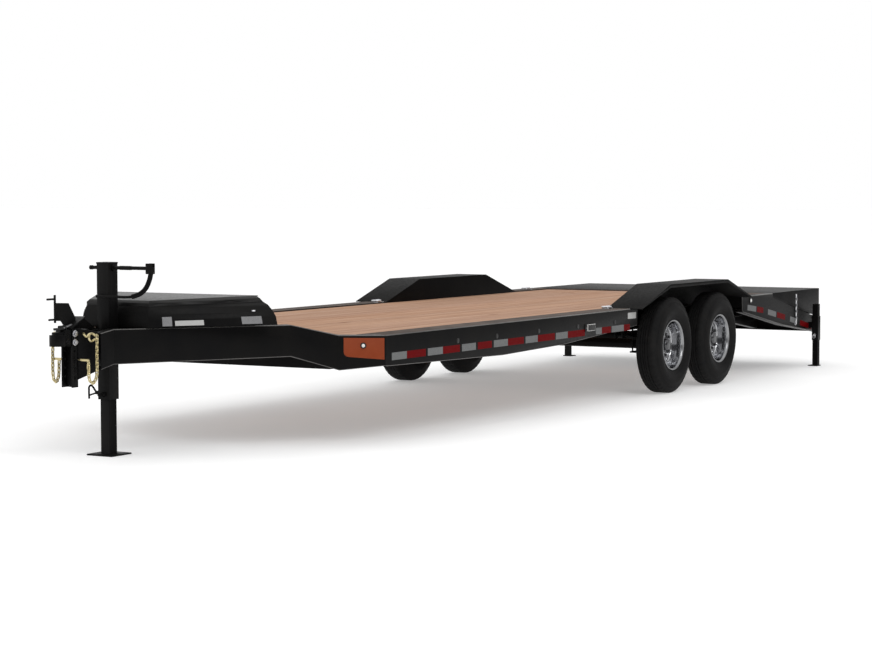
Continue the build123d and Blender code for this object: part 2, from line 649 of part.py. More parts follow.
with BuildPart() as jack_leg:
    block(JACK_X - 35, JACK_X + 35, -35, 35, 8, 800)
    block(JACK_X - 30, JACK_X + 30, -30, 30, 20, 810, mode=Mode.SUBTRACT)
    block(JACK_X - 97, JACK_X + 97, -97, 97, 0, 10)
finish(jack_leg.part, "jack_leg")

with BuildPart() as jack_crank:
    rod_y(JACK_X, CRANK_Z, 11, -130, 330)
    rod_y(JACK_X, CRANK_Z, 20, 306, 352)
    with BuildLine() as handle_path:
        FilletPolyline((JACK_X, 334, CRANK_Z - 12), (JACK_X + 10, 318, 1062),
                       (JACK_X + 34, 284, 1000), (JACK_X + 63, 238, 970),
                       (JACK_X + 63, -34, 968), radius=24)
    with BuildSketch(Plane(origin=handle_path.line @ 0, z_dir=handle_path.line % 0)):
        Circle(9)
    sweep(path=handle_path.line)
finish(jack_crank.part, "jack_crank")

with BuildPart() as jack_mount:
    block(JACK_X - half - 11, JACK_X - half - 1, -216, 216, 584, 766)
    block(JACK_X + half + 1, JACK_X + half + 11, -148, 148, 584, 766)
    block(JACK_X - half - 1, JACK_X + half + 1, half + 1, half + 9, 600, 750)
    block(JACK_X - half - 1, JACK_X + half + 1, -half - 9, -half - 1, 600, 750)
finish(jack_mount.part, "jack_mount")

# ---------------------------------------------------------------------------
# Rear stands: sleeves on the dovetail rails, legs that slide in them
# ---------------------------------------------------------------------------
hs, hl = STAND_SLEEVE / 2, STAND_LEG / 2
with BuildPart() as stand_sleeve_left:
    block(STAND_X - hs, STAND_X + hs, STAND_Y - hs, STAND_Y + hs, 236, 454)
    block(STAND_X - hs + 4, STAND_X + hs - 4, STAND_Y - hs + 4, STAND_Y + hs - 4,
          230, 460, mode=Mode.SUBTRACT)
    block(STAND_X - 24, STAND_X + 24, RAIL_Y, STAND_Y - hs + 2, 345, 400)
with BuildPart() as stand_sleeve_right:
    mirror(stand_sleeve_left.part, about=Plane.XZ)
finish(stand_sleeve_left.part, "stand_sleeve_left")
finish(stand_sleeve_right.part, "stand_sleeve_right")

with BuildPart() as stand_leg_left:
    block(STAND_X - hl, STAND_X + hl, STAND_Y - hl, STAND_Y + hl, 4, 564)
    block(STAND_X - hl + 4, STAND_X + hl - 4, STAND_Y - hl + 4, STAND_Y + hl - 4,
          12, 570, mode=Mode.SUBTRACT)
    block(STAND_X - 50, STAND_X + 50, 1205.5, HALF_WIDTH, 0, 8)
with BuildPart() as stand_leg_right:
    mirror(stand_leg_left.part, about=Plane.XZ)
finish(stand_leg_left.part, "stand_leg_left")
finish(stand_leg_right.part, "stand_leg_right")

# ---------------------------------------------------------------------------
# Axles: tube, spring seats, brake backing plates and stub spindles
# ---------------------------------------------------------------------------
for axle_name, ax in (("axle_front", FRONT_AXLE), ("axle_rear", REAR_AXLE)):
    with BuildPart() as axle:
        rod_y(ax, TYRE_R, 38, -1036, 1036)
        for s in (-1, 1):
            y0, y1 = sorted((s * 1034.0, s * 1041.0))
            rod_y(ax, TYRE_R, 150, y0, y1)
            y0, y1 = sorted((s * 1040.0, s * 1196.0))
            rod_y(ax, TYRE_R, SPINDLE_R, y0, y1)
            y0, y1 = sorted((s * 935.0, s * 995.0))
            block(ax - 55, ax + 55, y0, y1, 416, 432)
            # clamp plates and U bolts around the spring
            y0, y1 = sorted((s * 926.0, s * 1004.0))
            block(ax - 80, ax + 80, y0, y1, 312, 324)
            block(ax - 66, ax + 66, y0, y1, 477, 487)
            for bx in (-47, 47):
                for by in (935.5, 994.5):
                    rod_z(ax + bx, s * by, 6, 318, 500)
    finish(axle.part, axle_name)

# ---------------------------------------------------------------------------
# Leaf springs, equalizers and hangers
# ---------------------------------------------------------------------------
SPRING_HALF = 330.0
EYE_Z = 466.0
spring_y0, spring_y1 = 942.5, 987.5
with BuildPart() as leaf_springs:
    for ax in (FRONT_AXLE, REAR_AXLE):
        for s in (-1, 1):
            y0, y1 = sorted((s * spring_y0, s * spring_y1))
            for i, reach in enumerate((330, 270, 210, 150, 90)):
                block(ax - reach, ax + reach, y0, y1, 468 - 9 * i, 477 - 9 * i)
            for e in (-1, 1):
                rod_y(ax + e * SPRING_HALF, EYE_Z, 17, y0, y1)
            for e in (-1, 1):
                rod_y(ax + e * SPRING_HALF, EYE_Z, 8.4, y0 - 1, y1 + 1, mode=Mode.SUBTRACT)
finish(leaf_springs.part, "leaf_springs")

with BuildPart() as spring_hangers:
    for s in (-1, 1):
        for a, b in ((932.0, 938.0), (992.0, 998.0)):
            y0, y1 = sorted((s * a, s * b))
            for x in (FRONT_AXLE + SPRING_HALF, REAR_AXLE - SPRING_HALF):
                side_plate([(x - 55, 505), (x - 25, 440), (x + 25, 440), (x + 55, 505)], y0, y1)
        for a, b in ((918.0, 926.0), (1004.0, 1012.0)):
            y0, y1 = sorted((s * a, s * b))
            side_plate([(AXLE_MID - 80, 505), (AXLE_MID - 28, 420), (AXLE_MID + 28, 420),
                        (AXLE_MID + 80, 505)], y0, y1)
            rod_y(AXLE_MID, 450, 12.1, y0 - 1, y1 + 1, mode=Mode.SUBTRACT)
        for x in (FRONT_AXLE + SPRING_HALF, REAR_AXLE - SPRING_HALF):
            y0, y1 = sorted((s * 924.0, s * 1006.0))
            rod_y(x, EYE_Z, 8, y0, y1)
finish(spring_hangers.part, "spring_hangers")

with BuildPart() as equalizers:
    ex = AXLE_SPACING / 2 - SPRING_HALF
    for s in (-1, 1):
        for a, b in ((928.0, 936.0), (994.0, 1002.0)):
            y0, y1 = sorted((s * a, s * b))
            side_plate([(AXLE_MID - ex - 22, EYE_Z + 16), (AXLE_MID - ex - 22, EYE_Z - 16),
                        (AXLE_MID - 30, 426), (AXLE_MID + 30, 426),
                        (AXLE_MID + ex + 22, EYE_Z - 16), (AXLE_MID + ex + 22, EYE_Z + 16),
                        (AXLE_MID, EYE_Z + 22)], y0, y1)
        y0, y1 = sorted((s * 914.0, s * 1016.0))
        rod_y(AXLE_MID, 450, 12, y0, y1)
        for e in (-1, 1):
            y0, y1 = sorted((s * 922.0, s * 1008.0))
            rod_y(AXLE_MID + e * ex, EYE_Z, 8, y0, y1)
    # the hanger plates' bores
finish(equalizers.part, "equalizers")

# ---------------------------------------------------------------------------
# Wheels: aluminium rim with hub and drum, and the tyre on it
# ---------------------------------------------------------------------------
disc_y = TYRE_Y - 8.0
for wheel_name, ax, s in (("front_left", FRONT_AXLE, 1), ("front_right", FRONT_AXLE, -1),
                          ("rear_left", REAR_AXLE, 1), ("rear_right", REAR_AXLE, -1)):
    # section in (distance from the spin axis, Y)
    with BuildPart() as tyre:
        with BuildSketch(Plane(origin=(ax, 0, TYRE_R), x_dir=(1, 0, 0), z_dir=(0, 0, 1))):
            with BuildLine():
                c = s * TYRE_Y
                b = s * (RIM_W / 2 - 6)
                m = s * (TYRE_W / 2 - 1)
                Polyline((RIM_SEAT_R + 4, c - b), (RIM_FLANGE_R, c - b))
                Spline((RIM_FLANGE_R, c - b), (236, c - s * 95), (276, c - m),
                       (305, c - s * 99), (329, c - s * 88), (350, c - s * 79),
                       (365, c - s * 72), (376, c - s * 63), (TYRE_R, c - s * 52))
                Line((TYRE_R, c - s * 52), (TYRE_R, c + s * 52))
                Spline((TYRE_R, c + s * 52), (376, c + s * 63), (365, c + s * 72),
                       (350, c + s * 79), (329, c + s * 88), (305, c + s * 99),
                       (276, c + m), (236, c + s * 95), (RIM_FLANGE_R, c + b))
                Polyline((RIM_FLANGE_R, c + b), (RIM_SEAT_R + 4, c + b),
                         (RIM_SEAT_R + 4, c - b))
            make_face()
        revolve(axis=Axis((ax, 0, TYRE_R), (0, 1, 0)))
    finish(tyre.part, f"tyre_{wheel_name}")

    with BuildPart() as rim:
        # barrel with its flanges
        with BuildSketch(Plane(origin=(ax, 0, TYRE_R), x_dir=(1, 0, 0), z_dir=(0, 0, 1))):
            with BuildLine():
                c = s * TYRE_Y
                h = s * RIM_W / 2
                Polyline((RIM_SEAT_R - 8, c - h), (RIM_FLANGE_R - 3, c - h),
                         (RIM_FLANGE_R - 3, c - h + s * 5), (RIM_SEAT_R + 3, c - h + s * 5),
                         (RIM_SEAT_R, c - h * 0.6), (RIM_SEAT_R - 14, c - h * 0.4),
                         (RIM_SEAT_R - 14, c + h * 0.2), (RIM_SEAT_R, c + h * 0.4),
                         (RIM_SEAT_R + 3, c + h - s * 5), (RIM_FLANGE_R - 3, c + h - s * 5),
                         (RIM_FLANGE_R - 3, c + h), (RIM_SEAT_R - 8, c + h),
                         (RIM_SEAT_R - 12, c + h * 0.5), (RIM_SEAT_R - 24, c + h * 0.2),
                         (RIM_SEAT_R - 24, c - h * 0.4), (RIM_SEAT_R - 10, c - h * 0.7),
                         close=True)
            make_face()
        revolve(axis=Axis((ax, 0, TYRE_R), (0, 1, 0)))
        # disc with hand holes
        y0, y1 = sorted((s * disc_y, s * (disc_y + 14)))
        rod_y(ax, TYRE_R, RIM_SEAT_R - 20, y0, y1)
        for i in range(8):
            a = 2 * pi * (i + 0.5) / 8
            rod_y(ax + 148 * cos(a), TYRE_R + 148 * sin(a), 19, y0 - 2, y1 + 2,
                  mode=Mode.SUBTRACT)
        # hub, cap and drum
        y0, y1 = sorted((s * 1085.0, s * (disc_y + 52)))
        rod_y(ax, TYRE_R, 58, y0, y1)
        y0, y1 = sorted((s * 1155.0, s * disc_y))
        rod_y(ax, TYRE_R, 110, y0, y1)
        y0, y1 = sorted((s * 1052.0, s * 1165.0))
        rod_y(ax, TYRE_R, DRUM_R, y0, y1)
        y0, y1 = sorted((s * 1040.0, s * 1157.0))
        rod_y(ax, TYRE_R, DRUM_R - 8, y0, y1, mode=Mode.SUBTRACT)
        y0, y1 = sorted((s * 1085.0, s * 1160.0))
        rod_y(ax, TYRE_R, 58, y0, y1)
        for i in range(8):
            a = 2 * pi * i / 8
            y0, y1 = sorted((s * (disc_y + 10), s * (disc_y + 36)))
            rod_y(ax + 82.5 * cos(a), TYRE_R + 82.5 * sin(a), 11, y0, y1)
        y0, y1 = sorted((s * 1080.0, s * 1200.0))
        rod_y(ax, TYRE_R, SPINDLE_R + HUB_CLEAR, y0, y1, mode=Mode.SUBTRACT)
    finish(rim.part, f"wheel_{wheel_name}")

# ---------------------------------------------------------------------------
# Orange corner panels, deck tie rings and lamps
# ---------------------------------------------------------------------------
chamfer = hypot(C2_PT[0] - C1_PT[0], C2_PT[1] - C1_PT[1])
along_x, along_y = (C2_PT[0] - C1_PT[0]) / chamfer, (C2_PT[1] - C1_PT[1]) / chamfer
with BuildPart() as corner_panels:
    with BuildSketch(Plane(origin=(C1_PT[0], C1_PT[1], 0), x_dir=(along_x, along_y, 0),
                           z_dir=(-along_y, along_x, 0))) as panel:
        with BuildLine():
            Polyline((4, -541), (4, -677), (262, -677), (262, -584), (259, -572),
                     (252, -563), (242, -557.6), close=True)
        make_face()
    extrude(panel.sketch, amount=2.0)
    mirror(about=Plane.XZ)
finish(corner_panels.part, "corner_panels")

with BuildPart() as tie_rings:
    for s in (-1, 1):
        for x, y in ((fa(700), s * 1040.0), (fa(-1900), s * 1060.0)):
            block(x - 44, x + 44, y - 30, y + 30, DECK_Z, DECK_Z + 5)
            with Locations((x + 20, y, DECK_Z + 13)):
                Torus(34, 7)
            block(x - 24, x - 8, y - 18, y + 18, DECK_Z + 3, DECK_Z + 23)
finish(tie_rings.part, "tie_rings")

with BuildPart() as tail_lamps:
    for s in (-1, 1):
        y0, y1 = sorted((s * 1020.0, s * 1120.0))
        block(CROSS_REAR_X - 8, CROSS_REAR_X, y0, y1, 325, 385)
finish(tail_lamps.part, "tail_lamps")

print("front axle", FRONT_AXLE, "rear axle", REAR_AXLE, "hinge", HINGE_X, HINGE_Z)
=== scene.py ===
import bpy
import bmesh
import json
import math
import random
from mathutils import Matrix, Vector


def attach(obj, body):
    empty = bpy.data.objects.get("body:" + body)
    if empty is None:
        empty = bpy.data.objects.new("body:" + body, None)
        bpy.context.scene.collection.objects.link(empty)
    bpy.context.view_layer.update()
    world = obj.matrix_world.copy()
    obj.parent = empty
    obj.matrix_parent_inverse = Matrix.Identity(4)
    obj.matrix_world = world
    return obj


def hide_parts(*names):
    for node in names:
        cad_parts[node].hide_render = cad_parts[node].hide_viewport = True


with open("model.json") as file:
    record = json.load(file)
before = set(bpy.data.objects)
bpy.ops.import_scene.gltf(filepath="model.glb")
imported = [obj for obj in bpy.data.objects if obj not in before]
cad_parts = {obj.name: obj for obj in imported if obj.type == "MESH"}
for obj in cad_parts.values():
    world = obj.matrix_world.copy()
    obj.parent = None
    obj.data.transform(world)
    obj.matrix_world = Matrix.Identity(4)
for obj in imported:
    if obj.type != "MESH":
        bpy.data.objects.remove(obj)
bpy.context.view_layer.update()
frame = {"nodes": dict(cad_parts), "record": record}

NODES = frame["nodes"]
scene = bpy.context.scene
scene.view_settings.view_transform = "Standard"
random.seed(7)

SHIFT = -1.2815           # X that lengthwise distances are measured from
RAIL_Y = 1.2              # outer face of the side rails
DECK_Z = 0.695
WOOD_Z = 0.687
TYRE_R = 0.380
TYRE_Y = 1.188
HINGE = (-4.7015, 0.42)


def fa(d):
    """X of a point d metres ahead of the datum."""
    return SHIFT + d


# ---------------------------------------------------------------------------
# Camera, light and floor
# ---------------------------------------------------------------------------
def add_camera():
    yaw, pitch, roll = 0.5336, 0.0613, -0.0022
    fw = Vector((-math.cos(yaw) * math.cos(pitch), -math.sin(yaw) * math.cos(pitch),
                 -math.sin(pitch)))
    r = fw.cross(Vector((0, 0, 1))).normalized()
    u = r.cross(fw)
    r2 = r * math.cos(roll) + u * math.sin(roll)
    u2 = u * math.cos(roll) - r * math.sin(roll)
    cam = bpy.data.cameras.new("camera")
    cam.sensor_width = 36.0
    cam.lens = 2231.03 * 36.0 / 872.0
    cam.clip_end = 500.0
    ob = bpy.data.objects.new("camera", cam)
    m = Matrix((r2, u2, -fw)).transposed().to_4x4()
    m.translation = Vector((16.0734 + SHIFT, 8.5925, 1.6046))
    ob.matrix_world = m
    scene.collection.objects.link(ob)
    scene.camera = ob


add_camera()


def area_light(name, loc, target, size, power, size_y=None):
    li = bpy.data.lights.new(name, "AREA")
    li.energy = power
    li.size = size
    if size_y:
        li.shape = "RECTANGLE"
        li.size_y = size_y
    ob = bpy.data.objects.new(name, li)
    ob.location = loc
    d = Vector(target) - Vector(loc)
    ob.rotation_euler = d.to_track_quat("-Z", "Y").to_euler()
    scene.collection.objects.link(ob)


world = bpy.data.worlds.new("world")
world.use_nodes = True


def studio_walls(nt):
    """White all round and above, with grey panels low on the left and front sides."""
    def math_node(op, a, b=0.0, clamp=False):
        n = nt.nodes.new("ShaderNodeMath")
        n.operation = op
        n.use_clamp = clamp
        for sock, v in ((n.inputs[0], a), (n.inputs[1], b)):
            if isinstance(v, bpy.types.NodeSocket):
                nt.links.new(v, sock)
            else:
                sock.default_value = v
        return n.outputs[0]

    def step(v, lo, hi):
        n = nt.nodes.new("ShaderNodeMapRange")
        n.interpolation_type = "SMOOTHSTEP"
        nt.links.new(v, n.inputs["Value"])
        n.inputs["From Min"].default_value = lo
        n.inputs["From Max"].default_value = hi
        return n.outputs["Result"]

    tc = nt.nodes.new("ShaderNodeTexCoord")
    sp = nt.nodes.new("ShaderNodeSeparateXYZ")
    nt.links.new(tc.outputs["Generated"], sp.inputs[0])
    x, y, z = sp.outputs
    # how far a direction points to the left and front of the trailer
    lean = math_node("ADD", math_node("MULTIPLY", x, 0.30), math_node("MULTIPLY", y, 0.954))
    dark = math_node("MULTIPLY", step(lean, -0.05, 0.30),
                     math_node("SUBTRACT", 1.0, step(z, 0.30, 0.62)))
    # a bright upright strip in the grey, like a lamp between two screens
    strip = math_node("MULTIPLY", step(x, -0.62, -0.56),
                      math_node("SUBTRACT", 1.0, step(x, -0.42, -0.36)))
    dark = math_node("MULTIPLY", dark, math_node("SUBTRACT", 1.0,
                                                 math_node("MULTIPLY", strip, 0.75)))
    mix = nt.nodes.new("ShaderNodeMix")
    mix.data_type = "RGBA"
    nt.links.new(dark, mix.inputs[0])
    mix.inputs[6].default_value = (1.0, 1.0, 1.0, 1.0)
    mix.inputs[7].default_value = (0.16, 0.16, 0.165, 1.0)
    nt.links.new(mix.outputs[2], nt.nodes["Background"].inputs[0])


studio_walls(world.node_tree)
world.node_tree.nodes["Background"].inputs[1].default_value = 1.0
scene.world = world
area_light("key", (6.0, 9.0, 9.0), (0.5, 0, 0.4), 5.0, 300)
area_light("top", (0.0, -2.0, 10.0), (0, 0, 0.4), 9.0, 110)


# ---------------------------------------------------------------------------
# Node helpers
# ---------------------------------------------------------------------------
class Nodes:
    """Short way to build a material's node tree."""

    def __init__(self, name):
        self.mat = bpy.data.materials.new(name)
        self.mat.use_nodes = True
        self.nt = self.mat.node_tree
        self.bsdf = self.nt.nodes["Principled BSDF"]
        self.coord = self.nt.nodes.new("ShaderNodeTexCoord")
        self.geo = self.nt.nodes.new("ShaderNodeNewGeometry")

    def put(self, socket, value):
        if isinstance(value, bpy.types.NodeSocket):
            self.nt.links.new(value, socket)
        else:
            socket.default_value = value

    def set(self, **kw):
        names = {"color": "Base Color", "rough": "Roughness", "metal": "Metallic",
                 "spec": "Specular IOR Level", "normal": "Normal", "coat": "Coat Weight",
                 "coat_rough": "Coat Roughness", "emit": "Emission Color",
                 "emit_power": "Emission Strength", "trans": "Transmission Weight",
                 "ior": "IOR", "alpha": "Alpha"}
        for k, v in kw.items():
            if k in ("color", "emit") and not isinstance(v, bpy.types.NodeSocket):
                v = (*v[:3], 1.0)
            self.put(self.bsdf.inputs[names[k]], v)
        return self

    def scale(self, vec, sx, sy, sz, loc=None):
        n = self.nt.nodes.new("ShaderNodeMapping")
        self.put(n.inputs["Vector"], vec)
        n.inputs["Scale"].default_value = (sx, sy, sz)
        if loc is not None:
            self.put(n.inputs["Location"], loc)
        return n.outputs["Vector"]

    def noise(self, vec, scale, detail=2.0, rough=0.5, distort=0.0):
        n = self.nt.nodes.new("ShaderNodeTexNoise")
        self.put(n.inputs["Vector"], vec)
        n.inputs["Scale"].default_value = scale
        n.inputs["Detail"].default_value = detail
        n.inputs["Roughness"].default_value = rough
        n.inputs["Distortion"].default_value = distort
        return n.outputs["Fac"]

    def voronoi(self, vec, scale, feature="F1", out="Distance"):
        n = self.nt.nodes.new("ShaderNodeTexVoronoi")
        n.feature = feature
        self.put(n.inputs["Vector"], vec)
        n.inputs["Scale"].default_value = scale
        return n.outputs[out]

    def ramp(self, fac, stops, smooth=False):
        n = self.nt.nodes.new("ShaderNodeValToRGB")
        if smooth:
            n.color_ramp.interpolation = "EASE"
        self.put(n.inputs["Fac"], fac)
        els = n.color_ramp.elements
        while len(els) > 1:
            els.remove(els[-1])
        for i, (p, c) in enumerate(stops):
            e = els[0] if i == 0 else els.new(p)
            e.position = p
            if isinstance(c, (int, float)):
                c = (c, c, c)
            e.color = (*c[:3], 1.0)
        return n.outputs["Color"]

    def math(self, op, a, b=0.0, clamp=False):
        n = self.nt.nodes.new("ShaderNodeMath")
        n.operation = op
        n.use_clamp = clamp
        self.put(n.inputs[0], a)
        self.put(n.inputs[1], b)
        return n.outputs[0]

    def map(self, v, a, b, c, d):
        n = self.nt.nodes.new("ShaderNodeMapRange")
        self.put(n.inputs["Value"], v)
        for k, x in zip(("From Min", "From Max", "To Min", "To Max"), (a, b, c, d)):
            n.inputs[k].default_value = x
        return n.outputs["Result"]

    def mix(self, fac, a, b, blend="MIX"):
        n = self.nt.nodes.new("ShaderNodeMix")
        n.data_type = "RGBA"
        n.blend_type = blend
        self.put(n.inputs[0], fac)
        for s, v in ((n.inputs[6], a), (n.inputs[7], b)):
            if not isinstance(v, bpy.types.NodeSocket):
                v = (*v[:3], 1.0)
            self.put(s, v)
        return n.outputs[2]

    def sep(self, vec):
        n = self.nt.nodes.new("ShaderNodeSeparateXYZ")
        self.put(n.inputs[0], vec)
        return n.outputs

    def comb(self, x, y, z):
        n = self.nt.nodes.new("ShaderNodeCombineXYZ")
        for s, v in zip(n.inputs, (x, y, z)):
            self.put(s, v)
        return n.outputs[0]

    def bump(self, height, strength, distance=0.001):
        n = self.nt.nodes.new("ShaderNodeBump")
        n.inputs["Strength"].default_value = strength
        n.inputs["Distance"].default_value = distance
        self.put(n.inputs["Height"], height)
        return n.outputs["Normal"]


def paint(name, col, col2, rough, spec, dust=0.05, dust_and_sheen_col=(0.2, 0.19, 0.18), peel=0.12,
          rough_var=0.07):
    """Painted steel: orange peel, faint colour drift, dust on what faces up; the same up-facing film, given a strong
    light colour, also paints a sheen, the grazing reflection on flat top faces.
    """
    m = Nodes(name)
    o = m.coord.outputs["Object"]
    drift = m.noise(o, 3.5, 4, 0.6)
    fine = m.noise(o, 60, 3, 0.6)
    base = m.mix(m.map(drift, 0.35, 0.65, 0, 1), col, col2)
    up = m.sep(m.geo.outputs["Normal"])[2]
    dust_and_sheen_film = m.math("MULTIPLY", m.map(up, 0.3, 1.0, 0.12, 1.0), m.map(m.noise(o, 6, 5, 0.7), 0.35, 0.75, 0.2, 1.0))
    dust_and_sheen_film = m.math("MULTIPLY", dust_and_sheen_film, dust)
    colour = m.mix(dust_and_sheen_film, base, dust_and_sheen_col)
    r = m.math("ADD", m.map(fine, 0.3, 0.7, rough - rough_var, rough + rough_var),
               m.math("MULTIPLY", dust_and_sheen_film, 0.8), clamp=True)
    h = m.math("ADD", m.noise(o, 320, 2, 0.5), m.math("MULTIPLY", m.noise(o, 24, 2, 0.5), 0.8))
    m.set(color=colour, rough=r, spec=spec, normal=m.bump(h, peel, 0.0006))
    return m.mat


M = {}
M["frame_black"] = paint("frame_black", (0.0034, 0.0034, 0.0037), (0.0058, 0.0054, 0.0050), 0.40, 0.075,
                         dust=0.024)
M["fender_black"] = paint("fender_black", (0.0034, 0.0034, 0.0036), (0.0060, 0.0056, 0.0053), 0.52, 0.045,
                          dust=0.030)
M["ramp_black"] = paint("ramp_black", (0.0062, 0.0062, 0.0066), (0.0100, 0.0096, 0.0092), 0.46, 0.05,
                        dust=0.03)
M["steel_plate"] = paint("steel_plate", (0.016, 0.016, 0.017), (0.026, 0.025, 0.024), 0.48, 0.25, dust=0.12)
M["lid_grey"] = paint("lid_grey", (0.0060, 0.0060, 0.0064), (0.0100, 0.0096, 0.0092), 0.34, 0.15, dust=0.07)
# lighter grey for the rounded rail edges: painted highlight lines
M["edge_painted_highlight"] = paint("edge_painted_highlight", (0.075, 0.072, 0.070), (0.12, 0.115, 0.11), 0.42, 0.3, dust=0.10)
# lighter top flanges: some dust plus a painted reflection of the bright sky seen at a grazing angle
M["deck_edge_dust_and_sheen"] = paint("deck_edge_dust_and_sheen", (0.030, 0.026, 0.024), (0.060, 0.050, 0.044), 0.66, 0.05,
                       dust=0.48, dust_and_sheen_col=(0.26, 0.21, 0.185))
M["orange"] = paint("orange_paint", (0.225, 0.040, 0.013), (0.265, 0.052, 0.018), 0.42, 0.12, dust=0.03,
                    dust_and_sheen_col=(0.6, 0.35, 0.25))


def wood():
    m = Nodes("deck_wood")
    o = m.coord.outputs["Object"]
    isl = m.geo.outputs["Random Per Island"]
    xyz = m.sep(o)
    off = m.math("MULTIPLY", isl, 57.0)
    p = m.comb(m.math("ADD", xyz[0], off), xyz[1], m.math("ADD", xyz[2], off))
    # slow waviness of the grain
    wob = m.noise(m.scale(p, 1.1, 5, 5), 1.0, 2, 0.5)
    py = m.math("ADD", m.sep(p)[1], m.math("MULTIPLY", wob, 0.05))
    g = m.comb(m.sep(p)[0], py, m.sep(p)[2])
    broad = m.noise(m.scale(g, 0.45, 24, 24), 1.0, 4, 0.62, 0.4)
    streak = m.noise(m.scale(g, 1.6, 120, 120), 1.0, 5, 0.7)
    fine = m.noise(m.scale(g, 9, 700, 700), 1.0, 3, 0.6)
    col = m.ramp(broad, [(0.30, (0.3256, 0.1890, 0.1207)), (0.45, (0.4218, 0.2590, 0.1739)),
                         (0.56, (0.4884, 0.3185, 0.2272)), (0.72, (0.5476, 0.3850, 0.2911))])
    col = m.mix(m.map(streak, 0.40, 0.72, 0.0, 0.75), col, (0.2664, 0.1470, 0.0887))
    col = m.mix(m.map(fine, 0.5, 0.85, 0.0, 0.35), col, (0.5772, 0.4340, 0.3408))
    # each plank a little different
    tone = m.ramp(isl, [(0.0, (0.86, 0.84, 0.83)), (0.35, (1.0, 0.97, 0.95)), (0.6, (0.93, 0.9, 0.9)),
                        (0.8, (1.04, 1.0, 0.96)), (1.0, (0.96, 0.9, 0.86))])
    col = m.mix(1.0, col, tone, "MULTIPLY")
    # knots, seldom
    kv = m.voronoi(m.scale(g, 1.15, 5.2, 5.2), 1.0)
    pick = m.voronoi(m.scale(g, 1.15, 5.2, 5.2), 1.0, out="Color")
    rare = m.math("GREATER_THAN", m.sep(pick)[0], 0.72)
    knot = m.math("MULTIPLY", m.map(kv, 0.05, 0.13, 1.0, 0.0), rare, clamp=True)
    col = m.mix(m.math("MULTIPLY", knot, 0.8), col, (0.20, 0.10, 0.05))
    h = m.math("ADD", m.math("MULTIPLY", streak, 0.7), m.math("MULTIPLY", fine, 0.5))
    m.set(color=col, rough=m.map(streak, 0.3, 0.7, 0.78, 0.92), spec=0.06,
          normal=m.bump(h, 0.35, 0.0012))
    return m.mat


M["deck_wood"] = wood()


def rubber(name="tyre_rubber"):
    m = Nodes(name)
    o = m.coord.outputs["Object"]
    a = m.noise(o, 14, 5, 0.6)
    b = m.noise(o, 420, 2, 0.5)
    col = m.mix(m.map(a, 0.35, 0.7, 0, 1), (0.0080, 0.0080, 0.0084), (0.0140, 0.0136, 0.0132))
    dust = m.map(m.noise(o, 3.2, 5, 0.7), 0.45, 0.8, 0.0, 0.05)
    col = m.mix(dust, col, (0.10, 0.09, 0.08))
    m.set(color=col, rough=m.map(a, 0.3, 0.7, 0.58, 0.74), spec=0.07,
          normal=m.bump(b, 0.18, 0.0006))
    return m.mat


M["tyre_rubber"] = rubber()


def metal(name, c1, c2, rough, streak=(40, 40, 40), bump=0.08, metallic=1.0, var=0.06):
    m = Nodes(name)
    o = m.coord.outputs["Object"]
    a = m.noise(m.scale(o, *streak), 1.0, 4, 0.6)
    b = m.noise(o, 7, 4, 0.6)
    m.set(color=m.mix(m.map(b, 0.3, 0.7, 0, 1), c1, c2), metal=metallic,
          rough=m.map(a, 0.3, 0.7, rough - var, rough + var),
          normal=m.bump(m.math("ADD", a, m.noise(o, 300, 2, 0.5)), bump, 0.0004))
    return m.mat


M["alloy"] = metal("alloy", (0.17, 0.172, 0.178), (0.30, 0.303, 0.312), 0.13, (30, 200, 30), 0.05, 1.0, 0.04)
# darker copy of the alloy: painted shade for the hub deep in the dish
M["alloy_painted_shade"] = metal("alloy_painted_shade", (0.075, 0.076, 0.079), (0.15, 0.152, 0.156), 0.22, (30, 200, 30), 0.05, 1.0, 0.04)
# lighter copy of the alloy for the outer lip: painted highlight
M["alloy_lip_painted_highlight"] = metal("alloy_lip_painted_highlight", (0.24, 0.243, 0.25), (0.36, 0.364, 0.372), 0.30, (30, 200, 30), 0.05, 1.0, 0.04)
# lighter copy of the alloy: painted highlight for the barrel's reflections and the hand-hole lips
M["alloy_painted_highlight"] = metal("alloy_painted_highlight", (0.50, 0.505, 0.52), (0.62, 0.625, 0.64), 0.13, (30, 260, 30), 0.04, 1.0, 0.04)
M["bright_steel"] = metal("bright_steel", (0.58, 0.58, 0.60), (0.72, 0.72, 0.74), 0.28, (60, 60, 60))
M["gold_zinc"] = metal("gold_zinc", (0.52, 0.43, 0.22), (0.68, 0.60, 0.36), 0.3, (60, 60, 60), 0.1)
M["drum_iron"] = metal("drum_iron", (0.018, 0.017, 0.016), (0.035, 0.032, 0.029), 0.6, (50, 50, 50), 0.2, 0.6)


def tape(name, col, col2):
    """Retroreflective tape: tiny sealed cells under a clear face."""
    m = Nodes(name)
    o = m.coord.outputs["Object"]
    cell = m.voronoi(o, 260, "DISTANCE_TO_EDGE")
    line = m.map(cell, 0.02, 0.09, 0.0, 1.0)
    c = m.mix(line, col2, col)
    c = m.mix(m.map(m.noise(o, 30, 3, 0.6), 0.4, 0.8, 0, 0.25), c, col2)
    m.set(color=c, rough=m.map(cell, 0.0, 0.3, 0.50, 0.36), spec=0.02,
          normal=m.bump(line, 0.1, 0.0003))
    return m.mat


M["tape_white"] = tape("tape_white", (0.185, 0.189, 0.189), (0.12, 0.124, 0.124))
M["tape_red"] = tape("tape_red", (0.145, 0.002, 0.003), (0.085, 0.0015, 0.002))
M["plate_grey"] = tape("plate_grey", (0.26, 0.26, 0.265), (0.17, 0.17, 0.175))
M["plate_white"] = tape("plate_white", (0.50, 0.50, 0.49), (0.40, 0.40, 0.39))


